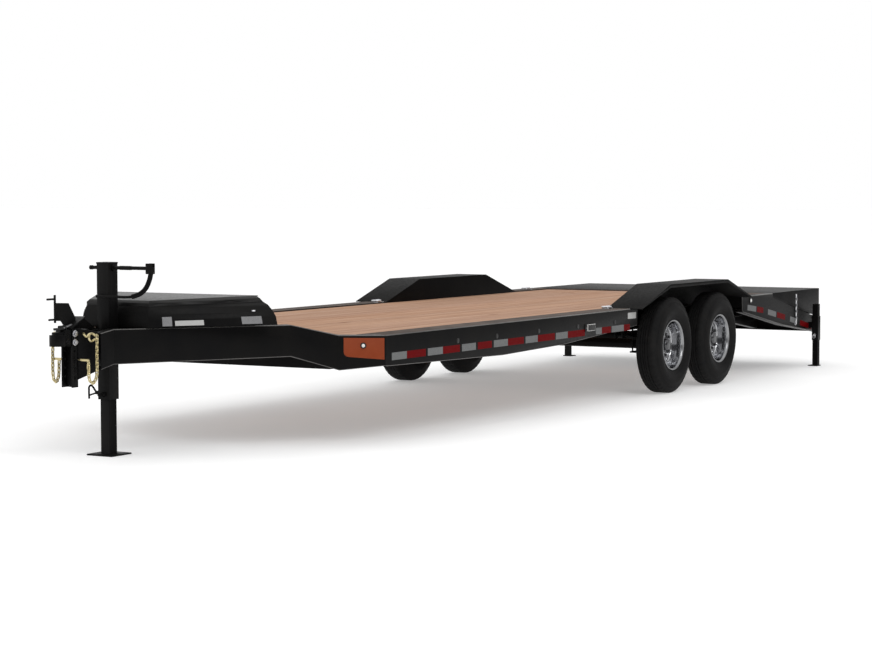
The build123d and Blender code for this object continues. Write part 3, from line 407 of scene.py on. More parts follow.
def lens(name, col, col2, rough=0.12):
    """Moulded lamp lens with a fluted inside."""
    m = Nodes(name)
    o = m.coord.outputs["Object"]
    w = m.nt.nodes.new("ShaderNodeTexWave")
    m.put(w.inputs["Vector"], o)
    w.inputs["Scale"].default_value = 90
    f = w.outputs["Fac"]
    c = m.mix(m.map(f, 0.2, 0.9, 0, 1), col, col2)
    m.set(color=c, rough=m.map(m.noise(o, 50, 2), 0.3, 0.7, rough, rough + 0.1), spec=0.5, coat=0.6,
          normal=m.bump(f, 0.25, 0.0005))
    return m.mat


M["lamp_red"] = lens("lamp_red", (0.34, 0.006, 0.008), (0.52, 0.02, 0.02))
M["lamp_amber"] = lens("lamp_amber", (0.75, 0.26, 0.02), (0.9, 0.42, 0.05))
M["lamp_clear"] = lens("lamp_clear", (0.72, 0.72, 0.7), (0.9, 0.9, 0.88))


def plastic(name, c1, c2, rough=0.5):
    m = Nodes(name)
    o = m.coord.outputs["Object"]
    m.set(color=m.mix(m.map(m.noise(o, 20, 4, 0.6), 0.3, 0.7, 0, 1), c1, c2),
          rough=m.map(m.noise(o, 90, 3), 0.3, 0.7, rough - 0.08, rough + 0.08), spec=0.35,
          normal=m.bump(m.voronoi(o, 900), 0.2, 0.0003))
    return m.mat


M["black_plastic"] = plastic("black_plastic", (0.010, 0.010, 0.010), (0.016, 0.016, 0.016))
M["weld"] = paint("weld_bead", (0.006, 0.006, 0.0065), (0.012, 0.011, 0.010), 0.36, 0.2, peel=0.5)


def pale_floor():
    m = Nodes("floor_pale")
    o = m.coord.outputs["Object"]
    c = m.mix(m.map(m.noise(o, 1.3, 5, 0.6), 0.3, 0.7, 0, 1), (0.74, 0.74, 0.74), (0.77, 0.77, 0.77))
    m.set(color=c, rough=m.map(m.noise(o, 9, 4), 0.3, 0.7, 0.86, 0.96), spec=0.1, emit=c,
          emit_power=0.42, normal=m.bump(m.noise(o, 120, 4), 0.08, 0.0006))
    return m.mat


M["floor"] = pale_floor()


# ---------------------------------------------------------------------------
# Mesh helpers
# ---------------------------------------------------------------------------
def new_object(name, bm, mats, body=None, smooth=None):
    """Turns a bmesh into a named object that rides on a body."""
    if smooth is not None:
        for f in bm.faces:
            f.smooth = True
        for e in bm.edges:
            if len(e.link_faces) == 2:
                e.smooth = e.calc_face_angle(0.0) < math.radians(smooth)
            else:
                e.smooth = False
    me = bpy.data.meshes.new(name)
    bm.to_mesh(me)
    bm.free()
    ob = bpy.data.objects.new(name, me)
    scene.collection.objects.link(ob)
    for m in (mats if isinstance(mats, (list, tuple)) else [mats]):
        me.materials.append(m)
    if body:
        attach(ob, body)
    return ob


def box_in(bm, x0, x1, y0, y1, z0, z1, mat=0, bevel=0.0, seg=2):
    """Box between two corners, with rounded edges if asked."""
    r = bmesh.ops.create_cube(bm, size=1.0)
    vs = r["verts"]
    bmesh.ops.scale(bm, vec=(x1 - x0, y1 - y0, z1 - z0), verts=vs)
    bmesh.ops.translate(bm, vec=((x0 + x1) / 2, (y0 + y1) / 2, (z0 + z1) / 2), verts=vs)
    fs = set(f for v in vs for f in v.link_faces)
    if bevel:
        es = set(e for v in vs for e in v.link_edges)
        out = bmesh.ops.bevel(bm, geom=list(es), offset=bevel, segments=seg, affect="EDGES",
                              profile=0.5, clamp_overlap=True)
        fs = set(out["faces"]) | set(f for f in fs if f.is_valid)
    for f in fs:
        f.material_index = mat
    return fs


def tube_in(bm, p, q, r, n=16, mat=0, r2=None, caps=True):
    """Round bar or cone between two points."""
    p, q = Vector(p), Vector(q)
    d = q - p
    res = bmesh.ops.create_cone(bm, cap_ends=caps, segments=n, radius1=r,
                                radius2=r if r2 is None else r2, depth=d.length)
    m = Matrix.Translation((p + q) / 2) @ d.to_track_quat("Z", "Y").to_matrix().to_4x4()
    bmesh.ops.transform(bm, matrix=m, verts=res["verts"])
    fs = set(f for v in res["verts"] for f in v.link_faces)
    for f in fs:
        f.material_index = mat
    return fs


def lathe_in(bm, profile, n, axis_point, axis="Y", mat=0, closed=False, mats=None, s=1):
    """Revolves (radius, distance along the axis) points about an axis."""
    ax = Vector(axis_point)
    rings = []
    for r, h in profile:
        ring = []
        for i in range(n):
            a = 2 * math.pi * i / n
            c, t = r * math.cos(a), r * math.sin(a)
            if axis == "Y":
                v = Vector((c, s * h, t))
            elif axis == "X":
                v = Vector((s * h, c, t))
            else:
                v = Vector((c, t, s * h))
            ring.append(bm.verts.new(ax + v))
        rings.append(ring)
    pairs = list(zip(rings, rings[1:]))
    if closed:
        pairs.append((rings[-1], rings[0]))
    for k, (a, b) in enumerate(pairs):
        for i in range(n):
            j = (i + 1) % n
            f = bm.faces.new((a[i], a[j], b[j], b[i]))
            f.material_index = mats[k] if mats else mat
    return rings


def nut_in(bm, p, axis, size, height, mat=0, dome=True):
    """Hexagon nut or bolt head on a washer, standing on a face at p."""
    p, axis = Vector(p), Vector(axis).normalized()
    tube_in(bm, p, p + axis * height * 0.16, size * 0.78, 18, mat)
    tube_in(bm, p + axis * height * 0.16, p + axis * height, size * 0.577, 6, mat)
    if dome:
        tube_in(bm, p + axis * height, p + axis * height * 1.22, size * 0.34, 10, mat,
                r2=size * 0.28)


def path_tube(name, points, r, mat, body, closed=False, res=6, bevel_res=4):
    """Round bar along a smooth line."""
    cu = bpy.data.curves.new(name, "CURVE")
    cu.dimensions = "3D"
    sp = cu.splines.new("BEZIER")
    sp.bezier_points.add(len(points) - 1)
    for bp, p in zip(sp.bezier_points, points):
        bp.co = p
        bp.handle_left_type = bp.handle_right_type = "AUTO"
    sp.use_cyclic_u = closed
    cu.bevel_depth = r
    cu.bevel_resolution = bevel_res
    cu.resolution_u = res
    cu.use_fill_caps = True
    ob = bpy.data.objects.new(name, cu)
    scene.collection.objects.link(ob)
    dg = bpy.context.evaluated_depsgraph_get()
    me = bpy.data.meshes.new_from_object(ob.evaluated_get(dg))
    bpy.data.objects.remove(ob)
    ob = bpy.data.objects.new(name, me)
    scene.collection.objects.link(ob)
    me.materials.clear()
    me.materials.append(mat)
    for f in me.polygons:
        f.use_smooth = True
    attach(ob, body)
    return ob


SLOTS = {s["node"]: s["material_slot"] for s in frame["record"]["subparts"]}
BODY_OF = {n: b for b, ns in frame["record"]["behaviour"]["bodies"].items() for n in ns}
replaced = set()


def roll_edges(bm, test, offset, seg=4, highlight_slot=None):
    """Rounds the edges whose two ends pass a test; the rounding may take a second material, a lighter painted
    highlight.
    """
    es = [e for e in bm.edges if len(e.link_faces) == 2 and test(e.verts[0].co)
          and test(e.verts[1].co) and e.calc_face_angle(0.0) > 0.7]
    if es:
        out = bmesh.ops.bevel(bm, geom=es, offset=offset, segments=seg, affect="EDGES",
                              profile=0.5, clamp_overlap=True)
        if highlight_slot is not None:
            for f in out["faces"]:
                f.material_index = highlight_slot


def steel_copy(node, width=0.0016, mat=None, seg=2, angle=28, name=None, rolls=()):
    """Copy of a CAD piece with its edges rounded, shown in its place."""
    src = NODES[node]
    bm = bmesh.new()
    bm.from_mesh(src.data)
    bmesh.ops.remove_doubles(bm, verts=bm.verts, dist=2e-5)
    bmesh.ops.dissolve_limit(bm, angle_limit=math.radians(0.8), verts=bm.verts, edges=bm.edges)
    bmesh.ops.recalc_face_normals(bm, faces=bm.faces)
    for test, offset in rolls:
        roll_edges(bm, test, offset, highlight_slot=1)
    ob = new_object(name or node + "_steel", bm, mat or M[SLOTS[node]])
    if rolls:
        ob.data.materials.append(M["edge_painted_highlight"])
    for f in ob.data.polygons:
        f.use_smooth = True
    if width:
        mod = ob.modifiers.new("edges", "BEVEL")
        mod.width = width
        mod.segments = seg
        mod.limit_method = "ANGLE"
        mod.angle_limit = math.radians(angle)
        mod.harden_normals = True
        mod.use_clamp_overlap = True
    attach(ob, BODY_OF[node])
    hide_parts(node)
    replaced.add(node)
    return ob


def stands_for(node):
    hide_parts(node)
    replaced.add(node)


bm = bmesh.new()
bmesh.ops.create_grid(bm, x_segments=1, y_segments=1, size=150)
floor = new_object("floor", bm, M["floor"])

# ---------------------------------------------------------------------------
# Steel frame: every plate with its rolled or ground edge; the rolled rail edges carry a painted highlight
# ---------------------------------------------------------------------------
# outer corners of the tongue rails: (X, |Y|), bottom, top
STATIONS = [(fa(4.190), 1.200, 0.501, 0.695), (fa(4.318), 0.940, 0.471, 0.694),
            (fa(4.591), 0.7605, 0.5695, 0.769), (fa(5.550), 0.130, 0.5625, 0.775),
            (fa(5.660), 0.120, 0.5375, 0.757)]


def at_station(v, which):
    """True for a vertex on the outer bottom (1) or top (2) corner line of a tongue rail."""
    for st in STATIONS:
        if abs(v.x - st[0]) < 6e-4 and abs(abs(v.y) - st[1]) < 6e-4 and abs(v.z - st[1 + which]) < 6e-4:
            return True
    return False


for n, w in (("side_rail_left", 0.002), ("side_rail_right", 0.002), ("front_crossbeam", 0.002),
             ("main_beam_left", 0.002), ("main_beam_right", 0.002), ("crossmembers", 0.0015),
             ("fender_left", 0.002), ("fender_right", 0.002), ("dovetail_rail_left", 0.002),
             ("dovetail_rail_right", 0.002), ("dovetail_frame", 0.0015),
             ("rear_crossmember", 0.0015), ("tongue_rail_left", 0.0022),
             ("tongue_rail_right", 0.0022), ("tongue_crossmembers", 0.002),
             ("tongue_nose", 0.003), ("coupler_channel", 0.0022), ("nose_bracket", 0.0012),
             ("jack_mount", 0.002), ("stand_sleeve_left", 0.0015), ("stand_sleeve_right", 0.0015),
             ("stand_leg_left", 0.0015), ("stand_leg_right", 0.0015), ("jack_leg", 0.003),
             ("ramp_left", 0.0015), ("ramp_right", 0.0015), ("deck_end_plate", 0.0015),
             ("axle_front", 0.0012), ("axle_rear", 0.0012), ("leaf_springs", 0.001),
             ("spring_hangers", 0.0012), ("equalizers", 0.0012), ("hinge_pins", 0.001),
             ("toolbox_body", 0.004), ("toolbox_lid", 0.006), ("jack_tube", 0.006), ("ball_coupler", 0.003), ("tail_lamps", 0.004),
             ("tie_rings", 0.001)):
    rolls = ()
    if n.startswith("side_rail"):
        rolls = ((lambda v: abs(abs(v.y) - RAIL_Y) < 2e-4 and v.z > DECK_Z - 5e-4, 0.006),
                 (lambda v: abs(abs(v.y) - RAIL_Y) < 2e-4 and v.z < 0.5605, 0.0045))
    elif n.startswith("tongue_rail"):
        rolls = ((lambda v: at_station(v, 2), 0.0050), (lambda v: at_station(v, 1), 0.0045))
    elif n.startswith("dovetail_rail"):
        rolls = ((lambda v: abs(abs(v.y) - RAIL_Y) < 2e-4 and v.z > 0.56, 0.006),
                 (lambda v: abs(abs(v.y) - RAIL_Y - 0.01) < 2e-4, 0.0027))
    ob = steel_copy(n, w, rolls=rolls, mat=M["fender_black"] if n.startswith("fender") else None)
    if n.startswith("side_rail") or n.startswith("deck_end"):
        # the wide top flanges take a lighter material: some dust and a painted reflection of the bright sky at a
        # grazing angle
        if not rolls:
            ob.data.materials.append(M["edge_painted_highlight"])
        ob.data.materials.append(M["deck_edge_dust_and_sheen"])
        for f in ob.data.polygons:
            if f.normal.z > 0.9 and f.center.z > DECK_Z - 0.003 and f.material_index == 0:
                f.material_index = 2
    if n.startswith("fender"):
        # the outer lip runs out at both toes
        for v in ob.data.vertices:
            if abs(v.co.y) > 1.29 and v.co.z < 0.6705:
                v.co.z = 0.6895
    if n == "toolbox_lid":
        # skirt of the lid sits flush with the body below it
        for v in ob.data.vertices:
            if v.co.z < 0.9335 - 0.028 * (v.co.x - fa(4.75)) and v.co.x > fa(4.76):
                v.co.y *= 0.981
                v.co.x -= 0.009 * max(0.0, min(1.0, (v.co.x - fa(5.20)) / 0.05))

# ---------------------------------------------------------------------------
# Deck planks with eased edges, and the screws that hold them
# ---------------------------------------------------------------------------
def cut_away(bm, faces, point, normal):
    """Cuts a closed solid with a plane, keeps the side behind it and closes the cut."""
    vs = set(v for f in faces for v in f.verts)
    es = set(e for f in faces for e in f.edges)
    out = bmesh.ops.bisect_plane(bm, geom=list(vs) + list(es) + list(faces), dist=1e-5,
                                 plane_co=point, plane_no=normal, clear_outer=True)
    rim = [g for g in out["geom_cut"] if isinstance(g, bmesh.types.BMEdge)]
    if rim:
        bmesh.ops.contextual_create(bm, geom=rim)


pw, gap = 0.178, 0.003
runs = ((fa(-1.672), fa(4.588)), (fa(-2.195), fa(-1.684)))
spans = [((i - 5) * (pw + gap) - pw / 2, (i - 5) * (pw + gap) + pw / 2, x0, x1)
         for x0, x1 in runs for i in range(11)]
boards = bmesh.new()
for i, (y0, y1, x0, x1) in enumerate(spans):
    dz = 0.0006 * ((i * 37) % 5) / 5.0
    bm = bmesh.new()
    box_in(bm, x0 + 0.001 * ((i * 7) % 3), x1 - 0.001 * (i % 3), y0, y1, 0.649, WOOD_Z - dz, 0,
           0.0025, 2)
    for s in (1, -1):
        for normal in ((0.5494, s * 0.8356, 0.0), (0.8971, s * 0.4417, 0.0)):
            cut_away(bm, list(bm.faces), (fa(4.311), s * 0.9338, 0.0), normal)
    bmesh.ops.recalc_face_normals(bm, faces=bm.faces)
    piece = bpy.data.meshes.new("board")
    bm.to_mesh(piece)
    bm.free()
    boards.from_mesh(piece)
    bpy.data.meshes.remove(piece)
planks = new_object("deck_boards", boards, M["deck_wood"], "chassis", smooth=40)
stands_for("deck_planks")


def on_wood(x, y):
    """True where a screw has wood round it, away from the cut along the tongue rails."""
    dx, dy = x - fa(4.311), abs(y) - 0.9338
    return 0.5494 * dx + 0.8356 * dy < -0.02 and 0.8971 * dx + 0.4417 * dy < -0.02


bm = bmesh.new()
rows = [fa(4.34) - i * 0.4064 for i in range(1, 16)] + [fa(4.28), fa(4.57), fa(-2.17)]
for x in rows:
    for y0, y1, x0, x1 in spans:
        if not (x0 + 0.01 < x < x1 - 0.01):
            continue
        for y in (y0 + 0.03, y1 - 0.03):
            if not on_wood(x, y):
                continue
            z = WOOD_Z - 0.0012
            tube_in(bm, (x + 0.004, y, z - 0.004), (x + 0.004, y, z), 0.0058, 8, 0, r2=0.0052)
screws = new_object("deck_screws", bm, M["bright_steel"], "chassis", smooth=40)

# ---------------------------------------------------------------------------
# Tyres: ribbed highway tread with cross sipes, sidewall rings and bead
# ---------------------------------------------------------------------------
def tyre_mesh(name, x, s, body, node):
    bm = bmesh.new()
    n = 192
    wide = [(0.204, 0.0765), (0.2045, 0.0775), (0.210, 0.0835), (0.218, 0.0915), (0.228, 0.0985),
            (0.2285, 0.0978), (0.231, 0.0990), (0.2315, 0.1005), (0.245, 0.1080), (0.262, 0.1135),
            (0.280, 0.1163), (0.2805, 0.1156), (0.286, 0.1150), (0.2865, 0.1152), (0.300, 0.1118),
            (0.314, 0.1062), (0.327, 0.1002), (0.3275, 0.0985), (0.3320, 0.0962), (0.3325, 0.0968),
            (0.345, 0.0910), (0.356, 0.0855), (0.366, 0.0805), (0.374, 0.0755), (0.380, 0.0690)]
    half = []
    for r, y in wide:
        shave = 0.0095 * min(max((r - 0.205) / 0.03, 0.0), 1.0)
        if r > 0.345:
            shave -= 0.004 * (r - 0.345) / 0.035
        half.append((0.200 + (r - 0.204) * 0.9945, y - shave))
    edge_r = TYRE_R
    grooves = [(-0.0339, -0.0275), (-0.0105, -0.0055), (0.0055, 0.0105), (0.0275, 0.0339)]
    ys = [(edge_r - 0.0012, -0.0567), (edge_r, -0.0512)]
    for a, b in grooves:
        ys += [(edge_r, a), (edge_r - 0.0085, a + 0.0012), (edge_r - 0.0085, b - 0.0012), (edge_r, b)]
    ys += [(edge_r, 0.0512), (edge_r - 0.0012, 0.0567)]
    prof = [(0.1920, -0.0765)] + [(r, -y) for r, y in half] + ys + [(r, y) for r, y in reversed(half)]
    prof += [(0.1920, 0.0765)]
    rings = lathe_in(bm, prof, n, (x, s * TYRE_Y, TYRE_R), "Y", closed=True, s=s)
    # sipes: pull thin slots into the shoulder ribs
    for k, (r, y) in enumerate(prof):
        if r > TYRE_R - 0.014 and 0.0338 <= abs(y) < 0.0720:
            for i in range(0, n, 4):
                v = rings[k][i]
                d = Vector((v.co.x - x, 0, v.co.z - TYRE_R)).normalized()
                v.co -= d * 0.0042
        if r == TYRE_R and 0.0104 <= abs(y) <= 0.0276:
            for i in range(2, n, 6):
                v = rings[k][i]
                d = Vector((v.co.x - x, 0, v.co.z - TYRE_R)).normalized()
                v.co -= d * 0.0030
    bmesh.ops.recalc_face_normals(bm, faces=bm.faces)
    # a row of moulded ribs round the sidewall
    for i in range(96):
        a = 2 * math.pi * i / 96
        c, t = math.cos(a), math.sin(a)
        for r0, r1, y in ((0.3325, 0.3385, 0.0838),):
            p = Vector((x + r0 * c, s * (TYRE_Y + y + 0.0006), TYRE_R + r0 * t))
            q = Vector((x + r1 * c, s * (TYRE_Y + y - 0.0022), TYRE_R + r1 * t))
            tube_in(bm, p, q, 0.0022, 5)
    ob = new_object(name, bm, M["tyre_rubber"], body, smooth=42)
    stands_for(node)
    return ob


# ---------------------------------------------------------------------------
# Wheels: deep aluminium dish, hand holes, lug nuts, cap, iron drum behind
# ---------------------------------------------------------------------------
def wheel_mesh(name, x, s, body, node):
    cy = s * TYRE_Y
    bm = bmesh.new()
    n = 96
    prof = [(0.1945, 0.0765), (0.1980, 0.0768), (0.1992, 0.0790), (0.1985, 0.0818), (0.1955, 0.0825),
            (0.1915, 0.0815), (0.1868, 0.0770), (0.1835, 0.0680), (0.1812, 0.0560), (0.1795, 0.0330),
            (0.1778, 0.0060), (0.1760, -0.0080), (0.1725, -0.0180), (0.1680, -0.0225),
            (0.1640, -0.0235)] + [(0.1600, -0.0225)]
    lathe_in(bm, prof, n, (x, cy, TYRE_R), "Y", s=s)
    ring = [(0.1945, 0.0765), (0.1925, 0.0700), (0.1905, 0.0500), (0.1885, 0.0200), (0.1830, 0.0060),
            (0.1820, -0.0360), (0.1885, -0.0450), (0.1905, -0.0700), (0.1945, -0.0765),
            (0.1980, -0.0768), (0.1990, -0.0800), (0.1970, -0.0825), (0.1920, -0.0815),
            (0.1820, -0.0740), (0.1790, -0.0450), (0.1720, -0.0400), (0.1700, -0.0300),
            (0.1680, -0.0225)]
    lathe_in(bm, ring, n, (x, cy, TYRE_R), "Y", s=s)
    # lug flange and the collar round the hub
    flange = [(0.1130, 0.0034), (0.1080, 0.0058), (0.0980, 0.0060), (0.0700, 0.0060),
              (0.0600, 0.0060), (0.0570, 0.0030), (0.0560, -0.0090)]
    lathe_in(bm, flange, n, (x, cy, TYRE_R), "Y", s=s)
    back = [(0.1130, -0.0110), (0.0980, -0.0085), (0.0560, -0.0085)]
    lathe_in(bm, back, n, (x, cy, TYRE_R), "Y", s=s)
    bmesh.ops.remove_doubles(bm, verts=bm.verts, dist=1e-6)
    # dished band between them, with a round hand hole in each eighth
    dish = [(0.1130, 0.0034), (0.1250, -0.0020), (0.1500, -0.0180), (0.1600, -0.0225)]

    def dish_y(r):
        for (a, ya), (b, yb) in zip(dish, dish[1:]):
            if r <= b + 1e-9:
                return ya + (yb - ya) * (r - a) / (b - a)
        return dish[-1][1]

    hole_r, hole_c = 0.0172, 0.1375
    r_in, r_out, wedge = 0.1130, 0.1600, math.pi / 8
    lips = bmesh.new()
    for k in range(8):
        mid = 2 * math.pi * (k + 0.5) / 8
        corners = [math.atan2(v, u) for u in (-wedge * hole_c, wedge * hole_c)
                   for v in (r_in - hole_c, r_out - hole_c)]
        angles = sorted([2 * math.pi * i / 44 - math.pi for i in range(44)] + corners)

        def place(u, v):
            r = hole_c + v
            a = mid + u / hole_c
            return Vector((x + r * math.cos(a), cy + s * dish_y(r), TYRE_R + r * math.sin(a)))

        loops = []
        for step in (0.0, 0.3, 0.65, 1.0):
            loop = []
            for t in angles:
                cu, cv = math.cos(t), math.sin(t)
                lim = min(wedge * hole_c / max(abs(cu), 1e-9),
                          ((r_out - hole_c) if cv > 0 else (hole_c - r_in)) / max(abs(cv), 1e-9))
                d = hole_r + (lim - hole_r) * step
                loop.append(bm.verts.new(place(d * cu, d * cv)))
            loops.append(loop)
        m = len(angles)
        for a, b in zip(loops, loops[1:]):
            for i in range(m):
                j = (i + 1) % m
                bm.faces.new((a[i], a[j], b[j], b[i]))
        # rounded lip and the wall of the hole, in the lighter alloy copy: painted highlight
        rings_k = []
        for dr, dy in ((0.0016, 0.0), (0.0009, 0.0013), (-0.0006, 0.0012), (-0.0014, 0.0),
                       (-0.0014, -0.0120)):
            ring_k = []
            for t in angles:
                p = place((hole_r + dr) * math.cos(t), (hole_r + dr) * math.sin(t))
                p.y += s * dy
                ring_k.append(lips.verts.new(p))
            rings_k.append(ring_k)
        for a, b in zip(rings_k, rings_k[1:]):
            for i in range(m):
                j = (i + 1) % m
                lips.faces.new((a[i], a[j], b[j], b[i]))
    bmesh.ops.remove_doubles(bm, verts=bm.verts, dist=4e-5)
    bmesh.ops.recalc_face_normals(lips, faces=lips.faces)
    rim = new_object(name + "_rim", bm, M["alloy"], body, smooth=38)
    # the barrel wall takes the lighter alloy copy: painted highlight for its reflections
    rim.data.materials.append(M["alloy_painted_highlight"])
    for f in rim.data.polygons:
        if math.hypot(f.center.x - x, f.center.z - 0.380) > 0.152 and abs(f.normal.y) < 0.62:
            f.material_index = 1
    holes = new_object(name + "_hand_holes", lips, M["alloy_painted_highlight"], body, smooth=50)
    # polished outer lip, in a lighter alloy copy: painted highlight
    bm = bmesh.new()
    lathe_in(bm, [(0.1985, 0.0800), (0.1990, 0.0816), (0.1958, 0.0832), (0.1914, 0.0823),
                  (0.1864, 0.0778), (0.1832, 0.0690)], n, (x, cy, TYRE_R), "Y", s=s)
    lip = new_object(name + "_lip", bm, M["alloy_lip_painted_highlight"], body, smooth=40)
    # hub, cap and nuts, in the darker alloy copy: painted shade deep in the dish
    bm = bmesh.new()
    cap = [(0.0560, -0.0090), (0.0555, 0.0090), (0.0520, 0.0115), (0.0490, 0.0120), (0.0480, 0.0220),
           (0.0460, 0.0290), (0.0425, 0.0345), (0.0400, 0.0360), (0.0380, 0.0385), (0.0335, 0.0420),
           (0.0200, 0.0436), (0.0001, 0.0440)]
    lathe_in(bm, cap, 48, (x, cy, TYRE_R), "Y", s=s)
    for i in range(8):
        a = 2 * math.pi * i / 8
        p = Vector((x + 0.0825 * math.cos(a), cy + s * 0.0058, TYRE_R + 0.0825 * math.sin(a)))
        ax = Vector((0, s, 0))
        tube_in(bm, p, p + ax * 0.0045, 0.0155, 20, 0, r2=0.0135)
        tube_in(bm, p + ax * 0.0045, p + ax * 0.0195, 0.0112, 6, 0)
        tube_in(bm, p + ax * 0.0195, p + ax * 0.0225, 0.0108, 6, 0, r2=0.0070)
    hub = new_object(name + "_hub", bm, M["alloy_painted_shade"], body, smooth=30)
    # drum behind
    bm = bmesh.new()
    lathe_in(bm, [(0.056, -0.0095), (0.108, -0.0125), (0.118, -0.0260), (0.1490, -0.0300),
                  (0.1520, -0.0360), (0.1495, -0.0400), (0.1520, -0.0440), (0.1495, -0.0480),
                  (0.1520, -0.0520), (0.1500, -0.1340), (0.1450, -0.1350), (0.1440, -0.0450),
                  (0.060, -0.0400), (0.056, -0.100), (0.0235, -0.102), (0.0235, -0.09)],
             64, (x, cy, TYRE_R), "Y", s=s)
    drum = new_object(name + "_drum", bm, M["drum_iron"], body, smooth=35)
    # valve stem
    a = 2.2
    p = Vector((x + 0.172 * math.cos(a), cy + s * -0.012, TYRE_R + 0.172 * math.sin(a)))
    bm = bmesh.new()
    tube_in(bm, p, p + Vector((-0.010 * math.cos(a), s * 0.026, -0.010 * math.sin(a))), 0.0042, 10)
    tube_in(bm, p + Vector((-0.010 * math.cos(a), s * 0.026, -0.010 * math.sin(a))),
            p + Vector((-0.013 * math.cos(a), s * 0.034, -0.013 * math.sin(a))), 0.0048, 10)
    valve = new_object(name + "_valve", bm, M["black_plastic"], body, smooth=35)
    stands_for(node)


for tag, body, x, s in (("front_left", "wheel_fl", fa(-0.008), 1),
                        ("front_right", "wheel_fr", fa(-0.008), -1),
                        ("rear_left", "wheel_rl", fa(-0.92), 1),
                        ("rear_right", "wheel_rr", fa(-0.92), -1)):
    tyre_mesh("tyre_tread_" + tag, x, s, body, "tyre_" + tag)
    wheel_mesh("wheel_dish_" + tag, x, s, body, "wheel_" + tag)

# ---------------------------------------------------------------------------
# Reflective tape along both sides, following the rails
# ---------------------------------------------------------------------------
def strip(bm, pts, y, mat, thick=0.0006, h=0.048):
    """Tape between centre-line points given as (X, Z)."""
    a, b = (Vector((p[0], 0, p[1])) for p in pts)
    d = (b - a).normalized()
    up = Vector((-d.z, 0, d.x))
    if up.z < 0:
        up = -up
    s = 1 if y > 0 else -1
    quad = [a - up * h / 2, b - up * h / 2, b + up * h / 2, a + up * h / 2]
    v0 = [bm.verts.new((q.x, y, q.z)) for q in quad]
    v1 = [bm.verts.new((q.x, y + s * thick, q.z)) for q in quad]
    fs = [bm.faces.new(v1), bm.faces.new(list(reversed(v0)))]
    for i in range(4):
        j = (i + 1) % 4
        fs.append(bm.faces.new((v0[i], v0[j], v1[j], v1[i])))
    for f in fs:
        f.material_index = mat


front_tape = [(4.110, 3.928, 0), (3.926, 3.691, 1), (3.665, 3.473, 0), (3.471, 3.249, 1),
              (3.220, 3.033, 0), (3.006, 2.812, 1), (2.784, 2.585, 0), (2.583, 2.353, 1),
              (2.327, 2.146, 0), (2.144, 1.884, 1), (1.868, 1.682, 0), (1.680, 1.407, 1),
              (1.225, 1.127, 0), (1.125, 0.973, 1), (0.958, 0.750, 0), (0.748, 0.643, 1)]
rear_z = [(-1.60, 0.606), (-2.033, 0.555), (-2.33, 0.505), (-2.74, 0.435), (-3.21, 0.345), (-3.33, 0.326)]


def rear_line(x):
    for (a, za), (b, zb) in zip(rear_z, rear_z[1:]):
        if a >= x >= b:
            return za + (zb - za) * (x - a) / (b - a)
    return rear_z[-1][1]


rear_tape = [(-1.676, -1.866, 0), (-1.886, -2.028, 1), (-2.136, -2.322, 0), (-2.344, -2.534, 1),
             (-2.653, -2.824, 0), (-2.897, -3.175, 1)]
for s, side in ((1, "left"), (-1, "right")):
    bm = bmesh.new()
    for a, b, m in front_tape:
        strip(bm, ((fa(a), 0.555), (fa(b), 0.555)), s * 1.20005, m)
    for a, b, m in rear_tape:
        strip(bm, ((fa(a), rear_line(a)), (fa(b), rear_line(b))), s * 1.20005, m)
    bmesh.ops.recalc_face_normals(bm, faces=bm.faces)
    ob = new_object("reflective_tape_" + side, bm, [M["tape_white"], M["tape_red"]], "chassis")

# ---------------------------------------------------------------------------
# Orange corner panels with a rolled edge, and the marker lamp in each
# ---------------------------------------------------------------------------
ALONG = Vector((0.4417, -0.8971, 0.0))      # along the left chamfer, towards the coupler
OUT = Vector((0.8971, 0.4417, 0.0))         # out of it


def on_chamfer(t, z, out, s=1):
    """Point t metres along the chamfered corner, off its face by out."""
    p = Vector((fa(4.190), 1.200, 0.0)) + ALONG * t + OUT * out
    return Vector((p.x, s * p.y, z))


outline = [(0.004, 0.541), (0.004, 0.677), (0.262, 0.677), (0.262, 0.5885), (0.2605, 0.5790),
           (0.2560, 0.5700), (0.2490, 0.5632), (0.2400, 0.5590), (0.2300, 0.5570)]
for s, side in ((1, "left"), (-1, "right")):
    bm = bmesh.new()
    cx = sum(p[0] for p in outline) / len(outline)
    cz = sum(p[1] for p in outline) / len(outline)
    rings = []
    for inset, out in ((0.0, 0.0001), (0.0, 0.0012), (0.0016, 0.0020), (0.0070, 0.0020),
                       (0.0086, 0.0013)):
        ring = []
        for px, pz in outline:
            qx = px + (inset if px < cx else -inset)
            qz = pz + (inset if pz < cz else -inset)
            ring.append(bm.verts.new(on_chamfer(qx, qz, out, s)))
        rings.append(ring)
    n = len(outline)
    for a, b in zip(rings, rings[1:]):
        for i in range(n):
            j = (i + 1) % n
            bm.faces.new((a[i], a[j], b[j], b[i]))
    bm.faces.new(rings[-1])
    bm.faces.new(list(reversed(rings[0])))
    bmesh.ops.recalc_face_normals(bm, faces=bm.faces)
    ob = new_object("corner_panel_" + side, bm, M["orange"], "chassis", smooth=25)
    if s == 1:
        stands_for("corner_panels")


